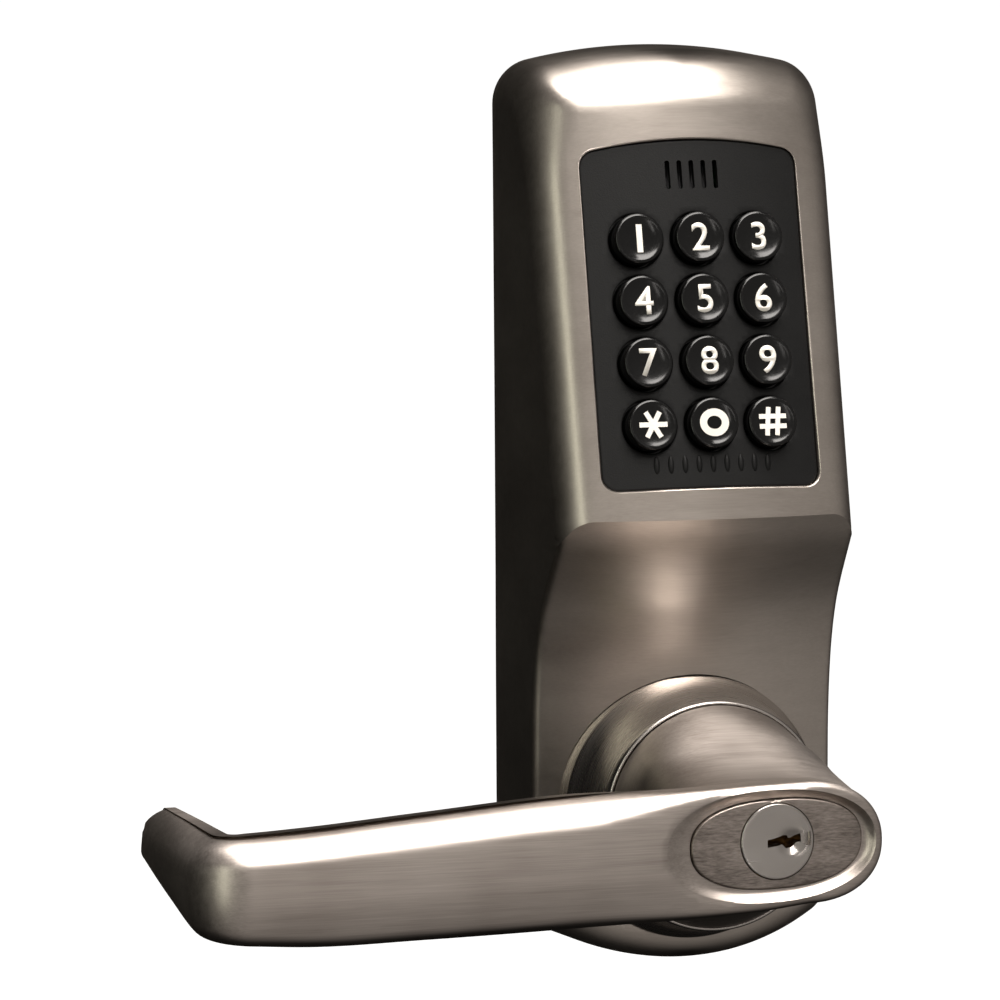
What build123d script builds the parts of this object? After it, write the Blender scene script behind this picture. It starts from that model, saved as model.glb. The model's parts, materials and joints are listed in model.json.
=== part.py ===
# Keypad smart lock for a door: outside unit with a lever handle and a key cylinder.
# Millimetres. +X right as seen from outside, +Y into the door, +Z up.
# The origin is where the lever axis meets the door plane (y = 0).
import math
import os

from build123d import *

# ---- casing ----
half_width = 39.0
top_z = 183.5
top_radius = 140.0
bottom_z = -39.0
bottom_radius = 71.0
top_corner = 11.0
bottom_corner = 7.5
draft = 2.2
wall = 3.5
rim_y = -0.3
crown_axis_y = 75.0
front_edge = 8.0
lower_edge = 1.4
crest_z = 71.7

# ---- keypad face: tilted back from the vertical ----
tilt = 13.14
face_y = -46.31
face_z = 115.99
key_pitch = 15.0
key_r = 6.15
key_hole_r = 6.5
key_proud = 2.5
key_travel = 1.2
fascia_recess = 0.8
fascia_thick = 1.5
window_half = 27.3
window_low = -37.8
window_high = 46.7
window_arch = 146.0
flange_front = -4.4
mat_front = -6.9
board_front = -11.0
board_thick = 1.6

# ---- lever ----
rose_r = 32.1
rose_seat = -30.5
rose_front = -54.6
neck_r = 26.8
neck_back = -55.1
shank_r = 15.0
shank_back = -22.0
grip_front = -99.6
grip_end = -139.0
grip_thick = 11.0
grip_edge = 2.4
return_back = -39.0
bend_r = 13.0
insert_long = 42.0
insert_tall = 21.0
insert_z = -0.6
dish_long = 49.0
dish_tall = 25.4
lever_drop = 2.2

# ---- lock cylinder ----
plug_face_r = 8.95
plug_r = 6.4
shell_r = 10.9
pin_r = 1.4
pin_rows = [-90.0, -84.0, -78.0, -72.0, -66.0]

# ---- clutch, spindle and fixing ----
hub_r = 17.0
ring_r = 14.0
groove_r = 12.2
hub_square = 12.0
spindle_side = 8.0
spindle_end = 45.0
motor_z = 44.0
post_top_z = 170.0
post_low_z = -28.0
post_r = 4.5
post_end = 14.0
plate_front = -3.0
plate_back = -1.0

TAN = math.tan(math.radians(tilt))
COS = math.cos(math.radians(tilt))
SIN = math.sin(math.radians(tilt))

FACE = Plane(origin=(0, face_y, face_z), x_dir=(1, 0, 0), z_dir=(0, -COS, SIN))
LEVER_TILT = Rot(0, -lever_drop, 0)


# ---------------------------------------------------------------- helpers
def along_y(sketch, y_front, y_back, taper=0):
    """Extrude a sketch drawn in X-Z from y_back towards the front."""
    plane = Plane(origin=(0, y_back, 0), x_dir=(1, 0, 0), z_dir=(0, -1, 0))
    return extrude(plane * sketch, amount=y_back - y_front, taper=taper)


def rod(r, y_front, y_back, x=0.0, z=0.0):
    return along_y(Pos(x, z) * Circle(r), y_front, y_back)


def tube(r_out, r_in, y_front, y_back, x=0.0, z=0.0):
    return rod(r_out, y_front, y_back, x, z) - rod(r_in, y_front - 1, y_back + 1, x, z)


def block(x0, x1, y0, y1, z0, z1):
    centre = ((x0 + x1) / 2, (y0 + y1) / 2, (z0 + z1) / 2)
    return Pos(*centre) * Box(x1 - x0, y1 - y0, z1 - z0)


def on_face(sketch, n_low, n_high):
    """Extrude a sketch drawn on the tilted keypad face, along its normal."""
    return extrude(FACE.offset(n_low) * sketch, amount=n_high - n_low)


def polar(radius, degrees):
    angle = math.radians(degrees)
    return (radius * math.cos(angle), radius * math.sin(angle))


def sector(r_in, r_out, start, stop):
    """A ring sector in X-Z between two angles, counter-clockwise as seen from outside."""
    steps = 12
    points = [polar(r_in, start)]
    for i in range(steps + 1):
        points.append(polar(r_out, start + (stop - start) * i / steps))
    for i in range(steps + 1):
        points.append(polar(r_in, stop + (start - stop) * i / steps))
    return make_face(Polyline(*points[:-1], close=True))


def one(shape):
    """The single solid of a shape."""
    solids = shape.solids()
    return max(solids, key=lambda s: s.volume)


def group(solids):
    return Compound(children=[one(s) for s in solids])


# ---------------------------------------------------------------- casing
def outline(inset):
    half = half_width - inset
    arch = Pos(0, top_z - top_radius) * Circle(top_radius - inset)
    bowl = Pos(0, bottom_z + bottom_radius) * Circle(bottom_radius - inset)
    upper = (Pos(0, 120) * Rectangle(2 * half, 160)) & arch
    lower = (Pos(0, -5) * Rectangle(2 * half, 90)) & bowl
    sheet = upper + lower
    tops = [v for v in sheet.vertices() if v.Y > 100]
    sheet = fillet(tops, max(top_corner - inset, 2))
    lows = [v for v in sheet.vertices() if v.Y < 0]
    return fillet(lows, max(bottom_corner - inset, 2))


def face_line(z):
    """Height of the keypad face on the centre line."""
    return face_y - (face_z - z) * TAN


def crowned(profile):
    face = make_face(Polyline(*profile, close=True))
    return revolve(Plane.YZ * face, Axis((0, crown_axis_y, 0), (0, 0, 1)), 360)


def front_body(inset):
    """Everything behind the keypad face moved inwards by inset."""
    shift = inset / COS
    low = face_line(-60) + shift
    high = face_line(200) + shift
    return crowned([(crown_axis_y, -60), (crown_axis_y, 200), (high, 200), (low, -60)])


def step_cutter(dy, dz):
    """What the S-shaped step removes below the crest."""
    curve = [
        (face_line(crest_z), crest_z),
        (-53.6, 66.0),
        (-48.9, 60.0),
        (-45.2, 55.0),
        (-42.0, 50.0),
        (-39.5, 44.0),
        (-37.8, 38.0),
        (-36.4, 30.0),
        (-35.4, 20.0),
        (-35.0, 6.0),
    ]
    moved = [(y + dy, z + dz) for y, z in curve]
    spline = Spline(*moved, tangents=[(1, -0.9), (0.0, -1)])
    end = moved[-1]
    start = moved[0]
    sides = Polyline(end, (end[0], -60), (-130, -60), (-130, start[1]), start)
    face = make_face(spline + sides)
    return revolve(Plane.YZ * face, Axis((0, crown_axis_y, 0), (0, 0, 1)), 360)


def window(inset):
    half = window_half - inset
    arch = Pos(0, window_high - window_arch) * Circle(window_arch - inset)
    middle = (window_low + 60) / 2
    sheet = (Pos(0, middle) * Rectangle(2 * half, 60 - window_low - 2 * inset)) & arch
    return fillet(sheet.vertices(), max(3.8 - inset, 0.8))


def casing_skin():
    prism = along_y(outline(0), -64, rim_y, taper=draft)
    body = one((prism & front_body(0)) - step_cutter(0, 0))
    upper = []
    for edge in body.edges():
        box = edge.bounding_box()
        if box.min.Z > crest_z - 1 and box.max.Y < -20 and box.max.Z > crest_z + 4:
            upper.append(edge)
    return one(fillet(upper, front_edge))


def soften_lower(body):
    """Small radius along the edges of the step and the bottom."""
    picked = []
    for edge in body.edges():
        box = edge.bounding_box()
        wide = box.max.X - box.min.X > 60
        if box.max.Z > crest_z + 0.1 or box.max.Y > -20:
            continue
        if wide and box.min.Z > -20:
            continue
        picked.append(edge)
    for radius in (lower_edge, 1.0, 0.6):
        try:
            return one(fillet(picked, radius))
        except ValueError:
            print("lower edge radius", radius, "does not fit")
    return body


def make_casing():
    body = soften_lower(casing_skin())
    cavity = along_y(outline(wall), -64, 1, taper=draft) & front_body(wall)
    cavity = cavity - step_cutter(wall, 2.6)
    body = body - cavity
    seat = rod(rose_r + 3.2, rose_seat, rose_seat + 4)
    body = body + seat
    body = body - rod(rose_r + 0.1, -60, rose_seat)
    body = body - rod(18.05, -60, -20)
    for z, front in ((post_top_z, -29.5), (post_low_z, -27.5)):
        body = body + rod(7.0, front, -10, 0, z)
        body = body - rod(post_r + 0.05, -23, 5, 0, z)
    for x, z in plate_screw_places():
        body = body + block(x - 3.5 - (x < 0) * 1.5, x + 3.5 + (x > 0) * 1.5, -16, -3.1, z - 4, z + 4)
        body = body - rod(1.25, -14, 0, x, z)
    for u, v in board_screw_places():
        body = body + on_face(Pos(u, v) * Circle(2.8), board_front, -5.5)
        body = body - on_face(Pos(u, v) * Circle(1.0), board_front - 1, -7.0)
    for x, z in stop_screw_places():
        body = body - rod(1.15, -29.4, -20, x, z)
    for x in (-10, 10):
        body = body + rod(2.6, -39.5, -21, x, 53)
        body = body - rod(1.0, -30, -20, x, 53)
    recess = on_face(window(0), -30, 20) - front_body(fascia_recess + fascia_thick)
    body = body - recess
    body = body - on_face(window(3.0), -30, 20)
    return one(body)


def plate_screw_places():
    return [(-29, 140), (29, 140), (-29, 0), (29, 0)]


def board_screw_places():
    return [(-29.8, -30), (29.8, -30), (-29.8, 36), (29.8, 36)]


def make_back_plate():
    plate = along_y(outline(wall + 0.2), plate_front, plate_back)
    plate = plate - rod(9.05, -5, 1)
    plate = plate - rod(7.05, -5, 1, 0, 75)
    for z in (post_top_z, post_low_z):
        plate = plate - rod(post_r + 0.1, -5, 1, 0, z)
    for x, z in plate_screw_places():
        plate = plate - rod(1.7, -5, 1, x, z)
    return plate


def make_gasket():
    ring = along_y(outline(wall + 0.3), -1.0, 0)
    return ring - along_y(outline(wall + 2.3), -2, 1)


def pan_screw(r, head_r, head, y_seat, length, x, z):
    """A screw put in from the back: head behind y_seat, shank running forwards."""
    screw = rod(head_r, y_seat, y_seat + head, x, z)
    screw = screw + rod(r, y_seat - length, y_seat, x, z)
    slot = block(x - head_r, x + head_r, y_seat + head * 0.5, y_seat + 5, z - 0.3, z + 0.3)
    cross = block(x - 0.3, x + 0.3, y_seat + head * 0.5, y_seat + 5, z - head_r, z + head_r)
    return screw - (slot & rod(head_r * 0.7, -90, 90, x, z)) - (cross & rod(head_r * 0.7, -90, 90, x, z))


def make_plate_screws():
    return group([pan_screw(1.2, 2.4, 0.9, plate_back, 10, x, z) for x, z in plate_screw_places()])


def make_posts():
    posts = []
    for z in (post_top_z, post_low_z):
        post = rod(post_r, -22, post_end, 0, z)
        post = post - rod(2.1, -8, post_end + 1, 0, z)
        posts.append(chamfer(post.edges().filter_by(GeomType.CIRCLE).sort_by(Axis.Y)[-2:], 0.5))
    return group(posts)


def make_grommet():
    ring = tube(7.0, 4.0, plate_front, plate_back, 0, 75)
    lip = tube(8.6, 4.0, plate_front - 1.2, plate_front, 0, 75)
    return ring + lip


# ---------------------------------------------------------------- keypad
def key_places():
    names = ["1", "2", "3", "4", "5", "6", "7", "8", "9", "star", "0", "hash"]
    places = []
    for i, name in enumerate(names):
        u = (i % 3 - 1) * key_pitch
        v = (1.5 - i // 3) * key_pitch
        places.append((name, u, v, -u * u / 250))
    return places


def make_fascia():
    band = front_body(fascia_recess) - front_body(fascia_recess + fascia_thick)
    sheet = on_face(window(0.1), -12, 10) & band
    for name, u, v, drop in key_places():
        sheet = sheet - on_face(Pos(u, v) * Circle(key_hole_r), -12, 10)
    for i in range(5):
        slot = Pos(-6 + 3 * i, 38.2) * SlotOverall(7, 1.2, rotation=90)
        sheet = sheet - on_face(slot, -12, 10)
    for i in range(9):
        rib = Pos(-14 + 3.5 * i, -31.9) * SlotOverall(4.4, 1.4, rotation=90)
        sheet = sheet + on_face(rib, -1.2, -0.45)
    return one(sheet)


def make_key(u, v, drop):
    top = drop + key_proud
    cap = on_face(Pos(u, v) * Circle(key_r), flange_front, top)
    rim = cap.edges().filter_by(GeomType.CIRCLE)
    front = max(rim, key=lambda e: FACE.to_local_coords(e).center().Z)
    cap = fillet(front, 1.0)
    flange = on_face(Pos(u, v) * Circle(6.9), flange_front - 0.7, flange_front)
    stem = on_face(Pos(u, v) * Circle(3.0), flange_front - 0.8, flange_front - 0.7)
    return one(cap + flange + stem)


def make_mat():
    sheet = on_face(Pos(0, -1.25) * RectangleRounded(48, 64.5, 2), mat_front - 0.7, mat_front)
    for name, u, v, drop in key_places():
        sheet = sheet + on_face(Pos(u, v) * Circle(3.6), mat_front, mat_front + 0.4)
    return one(sheet)


def make_board():
    board_back = board_front - board_thick
    sheet = on_face(Pos(0, 3) * RectangleRounded(66, 78, 2), board_back, board_front)
    for u, v in board_screw_places():
        sheet = sheet - on_face(Pos(u, v) * Circle(1.3), board_back - 1, board_front + 1)
    return one(sheet)


def make_switches():
    solids = []
    for name, u, v, drop in key_places():
        box = on_face(Pos(u, v) * RectangleRounded(6.2, 6.2, 0.5), board_front, board_front + 3)
        stud = on_face(Pos(u, v) * Circle(1.7), board_front + 3, mat_front - 0.8)
        solids.append(box + stud)
    return group(solids)


def make_board_screws():
    solids = []
    back = board_front - board_thick
    for u, v in board_screw_places():
        head = on_face(Pos(u, v) * Circle(2.2), back - 1.2, back)
        shank = on_face(Pos(u, v) * Circle(0.95), back, -8.0)
        slot = on_face(Pos(u, v) * Rectangle(3.0, 0.5), back - 2, back - 0.7)
        solids.append(head + shank - slot)
    return group(solids)


def make_controller():
    back = board_front - board_thick
    chip = on_face(Pos(6, 12) * Rectangle(10, 10), back - 1.3, back - 0.2)
    for i in range(8):
        place = -4.0 + i * 8.0 / 7
        for side in (-1, 1):
            chip = chip + on_face(Pos(6 + side * 5.6, 12 + place) * Rectangle(1.4, 0.45), back - 0.6, back)
    return one(chip)


def make_sounder():
    can = on_face(Pos(0, 38.2) * Circle(6.0), board_front, -6.8)
    return can - on_face(Pos(0, 38.2) * Circle(1.0), -8, -6)


def make_header():
    back = board_front - board_thick
    shell = on_face(Pos(-10, -22) * Rectangle(16, 6.4), back - 7, back)
    shell = shell - on_face(Pos(-10, -22) * Rectangle(14.4, 4.8), back - 8, back - 1)
    for i in range(6):
        pin = on_face(Pos(-15 + 2 * i, -22) * Rectangle(0.6, 0.6), back - 6, back - 0.5)
        shell = shell + pin
    return one(shell)


# ---------------------------------------------------------------- rose and lever
def make_rose():
    profile = [
        (18.05, rose_seat),
        (rose_r, rose_seat),
        (rose_r, -37.2),
        (29.6, -42.5),
        (27.9, -48.0),
        (27.2, rose_front + 0.6),
        (26.7, rose_front),
        (18.05, rose_front),
        (18.05, rose_front + 3),
        (24.2, rose_front + 3),
        (25.6, -43.0),
        (28.4, -37.0),
        (28.4, rose_seat - 3),
        (18.05, rose_seat - 3),
    ]
    face = make_face(Polyline(*profile, close=True))
    return revolve(Plane.XY * face, Axis.Y, 360)


def make_lever_bush():
    tube_part = tube(18.0, shank_r + 0.05, -52.0, -26.6)
    return tube_part


def stadium(long, tall):
    return SlotOverall(long, tall)


def lever_front_shape():
    top = [(-17, 12.7), (-51, 11.9), (-84, 9.2), (-112, 7.2), (grip_end - 6, 6.2)]
    low = [(grip_end - 6, -17.0), (-130, -18.3), (-112, -19.8), (-84, -19.5), (-51, -18.9), (-17, -17.5)]
    upper = Spline((8, 13.6), *top)
    end = Line(upper @ 1, low[0])
    lower = Spline(*low, (8, -15.0))
    nose = Spline(lower @ 1, (20.5, -10.5), (26.0, -0.8), (20.5, 9.6), upper @ 0)
    return make_face(upper + end + lower + nose)


def lever_plan_shape():
    inner = bend_r - grip_thick
    bend_x = grip_end + bend_r
    bend_y = grip_front + bend_r
    back = grip_front + grip_thick
    a = Line((30, grip_front), (bend_x, grip_front))
    b = TangentArc(a @ 1, (grip_end, bend_y), tangent=(-1, 0))
    c = Line(b @ 1, (grip_end, return_back))
    d = Line(c @ 1, (grip_end + grip_thick - 1.5, return_back))
    e = Line(d @ 1, (grip_end + grip_thick, bend_y))
    f = TangentArc(e @ 1, (bend_x, back), tangent=(0, -1))
    g = Line(f @ 1, (30, back + 1.0))
    h = Line(g @ 1, a @ 0)
    return make_face(a + b + c + d + e + f + g + h)


def make_grip():
    plan = extrude(Plane.XY.offset(-40) * lever_plan_shape(), amount=80)
    front = along_y(lever_front_shape(), -110, -20)
    grip = one(plan & front)
    edges = []
    for edge in grip.edges():
        box = edge.bounding_box()
        if edge.geom_type != GeomType.LINE or box.max.Z - box.min.Z < 5:
            edges.append(edge)
    grip = fillet(edges, grip_edge)
    slope = (-6 + 18) / (return_back - (grip_front + bend_r))
    y0 = grip_front + bend_r
    wedge = [(y0, -17.6), (return_back + 5, -17.6 + slope * (return_back + 5 - y0)), (return_back + 5, -40), (y0, -40)]
    cut = extrude(Plane.YZ.offset(grip_end - 5) * make_face(Polyline(*wedge, close=True)), amount=30)
    grip = one(grip - cut)
    return grip


def make_neck():
    sections = [
        (neck_back, neck_r, neck_r, 0.0),
        (-60.0, 25.4, 24.6, 0.0),
        (-68.0, 24.2, 20.6, -0.2),
        (-78.0, 24.1, 16.8, -0.4),
        (-88.0, 24.8, 14.6, -0.6),
        (-92.0, 25.3, 14.2, -0.7),
    ]
    rings = []
    for y, rx, rz, z in sections:
        plane = Plane(origin=(0, y, z), x_dir=(1, 0, 0), z_dir=(0, -1, 0))
        rings.append(plane * Ellipse(rx, rz))
    return loft(rings)


def make_lever():
    body = make_neck() + make_grip()
    body = body + rod(shank_r, -57, shank_back)
    body = body + rod(neck_r - 0.3, neck_back - 0.2, neck_back)
    pocket = LEVER_TILT * (Pos(0, 0, insert_z) * along_y(stadium(insert_long + 0.2, insert_tall + 0.2), -105, -94.5))
    body = body - pocket
    dish = LEVER_TILT * (Pos(-0.8, 0, insert_z) * along_y(stadium(dish_long, dish_tall), -105, -98.4))
    body = body - dish
    body = body - rod(11.0, -96, -62)
    body = body - rod(8.5, -64, -20)
    body = body - block(-16.4, 0, -95, -63.5, -3.5, 3.5)
    body = body - (rod(shank_r + 1, -25.6, -24.3) - rod(14.05, -27, -23))
    for x, z in hub_screw_places():
        body = body - rod(1.25, -31, -20, x, z)
    return one(body)


def make_insert():
    plate = Pos(0, 0, insert_z) * along_y(stadium(insert_long, insert_tall), -98.6, -94.5)
    plate = chamfer(plate.edges().group_by(Axis.Y)[0], 0.35)
    plate = LEVER_TILT * plate
    return plate - rod(plug_face_r + 0.1, -102, -90)


def hub_screw_places():
    return [polar(11.7, 45 + 90 * i) for i in range(4)]


def make_lever_hub():
    hub = rod(hub_r, shank_back, -16.5) - rod(7.6, -30, -10)
    for i in range(4):
        hub = hub - along_y(sector(9.2, 13.9, 90 * i - 16, 90 * i + 16), -19.3, -16)
    for x, z in hub_screw_places():
        hub = hub - rod(1.5, -30, -10, x, z)
        hub = hub - rod(2.5, -18.6, -10, x, z)
    lug = along_y(sector(16.0, 25.0, 84, 96), -18.4, -16.5)
    return one(hub + lug)


def make_hub_screws():
    solids = []
    for x, z in hub_screw_places():
        screw = rod(2.35, -18.6, -16.9, x, z) + rod(1.2, -30, -18.6, x, z)
        hexagon = along_y(Pos(x, z) * RegularPolygon(1.2, 6), -17.9, -16)
        solids.append(screw - hexagon)
    return group(solids)


def make_retaining_ring():
    ring = tube(17.6, 14.1, -25.5, -24.4)
    return ring - along_y(sector(10, 22, -100, -80), -27, -22)


def make_thrust_washer():
    return tube(18.6, shank_r + 0.1, -26.4, -25.7)


def make_stop_plate():
    plate = along_y(sector(20.6, 29.0, 58, 178), -26.5, -25.2)
    low = along_y(sector(20.6, 25.2, 70, 83), -25.2, -16.6)
    high = along_y(sector(20.6, 25.2, 152.5, 166), -25.2, -16.6)
    plate = plate + low + high
    for x, z in stop_screw_places():
        plate = plate - rod(1.3, -30, -20, x, z)
    return one(plate)


def stop_screw_places():
    return [polar(26.9, 100), polar(26.9, 138)]


def make_stop_screws():
    return group([pan_screw(1.1, 2.0, 1.0, -25.2, 4.0, x, z) for x, z in stop_screw_places()])


def make_return_spring():
    radius = 18.6
    path = Helix(pitch=1.75, height=4.2, radius=radius, direction=(0, 1, 0), center=(0, -23.6, 0))
    start = path @ 0
    wire = Plane(origin=start, z_dir=path % 0) * Circle(0.7)
    return sweep(wire, path=path)


# ---------------------------------------------------------------- lock cylinder
def keyway():
    return block(-2.0, plug_face_r + 1, -110, -63, -1.1, 1.1)


def make_plug():
    plug = rod(plug_face_r, -99.0, -97.0) + rod(plug_r, -97.0, -62.0)
    plug = chamfer(plug.edges().group_by(Axis.Y)[0], 0.4)
    plug = plug - keyway()
    dish = Plane(origin=(3.2, -99.2, 0), x_dir=(1, 0, 0), z_dir=(0, 1, 0))
    plug = plug - (dish * Pos(0, 0, 0.9) * Cone(3.2, 1.4, 1.8))
    for y in pin_rows:
        plug = plug - Pos(-4.6, y, 0) * Rot(0, 90, 0) * Cylinder(pin_r, 5.4)
    return one(plug)


def make_key_pins():
    solids = []
    for y in pin_rows:
        solids.append(Pos(-4.0, y, 0) * Rot(0, 90, 0) * Cylinder(pin_r - 0.05, 4.2))
    return group(solids)


def make_shell():
    body = rod(shell_r, -94.4, -63.6)
    body = body + block(-16.2, -6.0, -94.0, -63.8, -3.3, 3.3)
    body = body - rod(plug_r + 0.05, -96, -60)
    for y in pin_rows:
        body = body - Pos(-11.6, y, 0) * Rot(0, 90, 0) * Cylinder(pin_r + 0.05, 11.0)
    return one(body)


def make_driver_pins():
    solids = []
    for y in pin_rows:
        solids.append(Pos(-8.6, y, 0) * Rot(0, 90, 0) * Cylinder(pin_r, 3.8))
    return group(solids)


def make_pin_springs():
    solids = []
    for y in pin_rows:
        path = Helix(pitch=0.9, height=4.2, radius=1.0, direction=(-1, 0, 0), center=(-10.8, y, 0))
        wire = Plane(origin=path @ 0, z_dir=path % 0) * Circle(0.17)
        solids.append(sweep(wire, path=path))
    return group(solids)


def make_pin_cover():
    return block(-16.35, -16.2, -94.0, -63.8, -3.0, 3.0)


def make_tailpiece():
    disc = rod(6.0, -62.0, -60.6)
    bar = block(-3.5, 3.5, -60.6, -19.5, -1.0, 1.0)
    return disc + bar


# ---------------------------------------------------------------- clutch and spindle
def square(side):
    return Rectangle(side, side)


def make_driven_hub():
    hub = along_y(square(hub_square), -15.5, -5.0)
    hub = hub + rod(7.0, -5.0, -0.6)
    return hub - along_y(square(spindle_side + 0.05), -16, 1)


def make_spindle():
    bar = along_y(square(spindle_side), -14.0, spindle_end)
    ends = bar.faces().sort_by(Axis.Y)[-1].edges()
    return chamfer(ends, 1.0)


def make_clutch_ring():
    ring = rod(ring_r, -14.2, -9.0)
    ring = ring - (rod(20, -13.1, -10.9) - rod(groove_r, -20, 0))
    for i in range(4):
        ring = ring + along_y(sector(9.6, 13.5, 90 * i - 13, 90 * i + 13), -18.5, -14.2)
    ring = ring - along_y(square(hub_square + 0.2), -20, 0)
    return one(ring)


def make_fork():
    plate = Pos(0, 13.5) * Rectangle(36, 37)
    plate = plate - Circle(groove_r + 0.4) - Pos(0, -12) * Rectangle(2 * groove_r + 0.8, 24)
    plate = plate + Pos(0, 38) * Rectangle(12, 20)
    fork = along_y(plate, -12.8, -11.2)
    fork = fork + block(-4.5, 4.5, -17.0, -11.2, motor_z - 4, motor_z + 4)
    return one(fork - rod(1.6, -20, -5, 0, motor_z))


def make_motor_screw():
    screw = rod(1.5, -19.2, -7.0, 0, motor_z)
    for i in range(7):
        y = -18.0 + 1.5 * i
        screw = screw - tube(2.0, 1.25, y, y + 0.7, 0, motor_z)
    return one(screw + rod(1.0, -21.0, -19.2, 0, motor_z))


def make_motor():
    can = rod(5.0, -32.0, -21.1, 0, motor_z)
    can = fillet(can.edges().group_by(Axis.Y)[0], 0.8)
    for x in (-2.5, 2.5):
        can = can + block(x - 0.4, x + 0.4, -34.0, -31.8, motor_z - 0.9, motor_z + 0.9)
    return can - rod(1.1, -23.5, -20, 0, motor_z)


def make_bracket():
    sheet = Pos(0, 46.5) * RectangleRounded(26, 20, 2)
    sheet = sheet - Pos(0, motor_z) * Circle(1.8)
    for x in (-10, 10):
        sheet = sheet - Pos(x, 53) * Circle(1.4)
    return along_y(sheet, -21.0, -19.8)


def make_bracket_screws():
    return group([pan_screw(0.95, 2.1, 1.1, -19.8, 6.0, x, 53) for x in (-10, 10)])


def make_spindle_bush():
    return tube(9.0, 7.05, -4.4, plate_back)


# ---------------------------------------------------------------- build
def main():
    parts = {
        "front_casing": make_casing(),
        "back_gasket": make_gasket(),
        "back_plate": make_back_plate(),
        "back_plate_screws": make_plate_screws(),
        "fixing_posts": make_posts(),
        "cable_grommet": make_grommet(),
        "keypad_fascia": make_fascia(),
        "keypad_mat": make_mat(),
        "keypad_board": make_board(),
        "tactile_switches": make_switches(),
        "board_screws": make_board_screws(),
        "controller_chip": make_controller(),
        "sounder": make_sounder(),
        "cable_header": make_header(),
        "rose": make_rose(),
        "lever_bush": make_lever_bush(),
        "stop_plate": make_stop_plate(),
        "stop_plate_screws": make_stop_screws(),
        "spindle_bush": make_spindle_bush(),
        "clutch_motor": make_motor(),
        "motor_bracket": make_bracket(),
        "bracket_screws": make_bracket_screws(),
        "lever_handle": make_lever(),
        "lever_insert": make_insert(),
        "lever_hub": make_lever_hub(),
        "hub_screws": make_hub_screws(),
        "retaining_ring": make_retaining_ring(),
        "thrust_washer": make_thrust_washer(),
        "return_spring": make_return_spring(),
        "cylinder_shell": make_shell(),
        "driver_pins": make_driver_pins(),
        "pin_springs": make_pin_springs(),
        "pin_cover": make_pin_cover(),
        "cylinder_plug": make_plug(),
        "key_pins": make_key_pins(),
        "tailpiece": make_tailpiece(),
        "driven_hub": make_driven_hub(),
        "spindle": make_spindle(),
        "clutch_ring": make_clutch_ring(),
        "clutch_fork": make_fork(),
        "motor_screw": make_motor_screw(),
    }
    for name, u, v, drop in key_places():
        parts["key_" + name] = make_key(u, v, drop)
    os.makedirs("parts", exist_ok=True)
    for name, shape in parts.items():
        export_step(shape, "parts/" + name + ".step")
        print(name, round(sum(s.volume for s in shape.solids()), 1), len(shape.solids()))


main()
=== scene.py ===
# %% [markdown]
# A keypad smart lock: a tall satin nickel casing, a tilted keypad, and a lever with a key cylinder.
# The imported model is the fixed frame. Each cell explains one piece or finish and then makes it.

# %% Load the frame
import math

import bmesh
import bpy
import json
import numpy as np
from mathutils import Matrix, Vector
from mathutils.geometry import delaunay_2d_cdt

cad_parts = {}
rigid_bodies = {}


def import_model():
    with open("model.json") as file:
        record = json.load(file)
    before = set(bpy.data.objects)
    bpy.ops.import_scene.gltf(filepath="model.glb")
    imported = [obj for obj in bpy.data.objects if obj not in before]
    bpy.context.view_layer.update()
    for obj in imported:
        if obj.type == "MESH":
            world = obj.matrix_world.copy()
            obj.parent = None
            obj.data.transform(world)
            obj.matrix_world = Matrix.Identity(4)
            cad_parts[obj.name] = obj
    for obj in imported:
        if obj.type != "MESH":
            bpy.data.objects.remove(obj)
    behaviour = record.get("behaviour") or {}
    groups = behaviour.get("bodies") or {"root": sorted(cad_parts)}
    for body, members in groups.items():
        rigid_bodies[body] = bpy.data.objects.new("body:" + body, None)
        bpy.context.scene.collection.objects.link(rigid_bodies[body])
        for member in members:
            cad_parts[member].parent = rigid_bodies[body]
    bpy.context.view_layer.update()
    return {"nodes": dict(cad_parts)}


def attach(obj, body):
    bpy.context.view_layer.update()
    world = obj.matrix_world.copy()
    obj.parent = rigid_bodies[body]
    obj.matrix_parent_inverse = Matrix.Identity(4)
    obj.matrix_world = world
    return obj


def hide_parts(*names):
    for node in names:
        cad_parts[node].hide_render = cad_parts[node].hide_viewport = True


for leftover in list(bpy.data.objects):
    bpy.data.objects.remove(leftover)
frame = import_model()
MM = 0.001


def placed(name, data):
    """Puts an object with this data into the scene."""
    piece = bpy.data.objects.new(name, data)
    bpy.context.scene.collection.objects.link(piece)
    return piece


def full_turn(count):
    """Angles spaced evenly around a circle."""
    return np.linspace(0, 2 * math.pi, count, endpoint=False)


print("frame loaded:", len(frame["nodes"]), "nodes")

# %% [markdown]
# The camera comes first, because every later choice is judged through it. A long lens from 1.6 m
# keeps the upright edges nearly parallel, as a product picture does.

# %% Camera
camera_data = bpy.data.cameras.new("camera")
camera_data.lens = 235.36
camera_data.sensor_width = 36.0
camera = placed("camera", camera_data)
CAMERA_AWAY = 1600.0
AZIMUTH, ELEVATION, ROLL = math.radians(16.699), math.radians(5.240), math.radians(-0.328)
TARGET = Vector((-37.376, 0.0, 72.568))
back = Vector((-math.sin(AZIMUTH) * math.cos(ELEVATION),
               -math.cos(AZIMUTH) * math.cos(ELEVATION),
               math.sin(ELEVATION)))
right = Vector((math.cos(AZIMUTH), -math.sin(AZIMUTH), 0.0))
up = back.cross(right)
right, up = (math.cos(ROLL) * right + math.sin(ROLL) * up, -math.sin(ROLL) * right + math.cos(ROLL) * up)
turn = Matrix((right, up, back)).transposed().to_4x4()
camera.matrix_world = Matrix.Translation((TARGET + CAMERA_AWAY * back) * MM) @ turn
camera_data.clip_end = 200.0
bpy.context.scene.camera = camera
print("camera at", [round(v, 3) for v in camera.matrix_world.translation])

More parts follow.
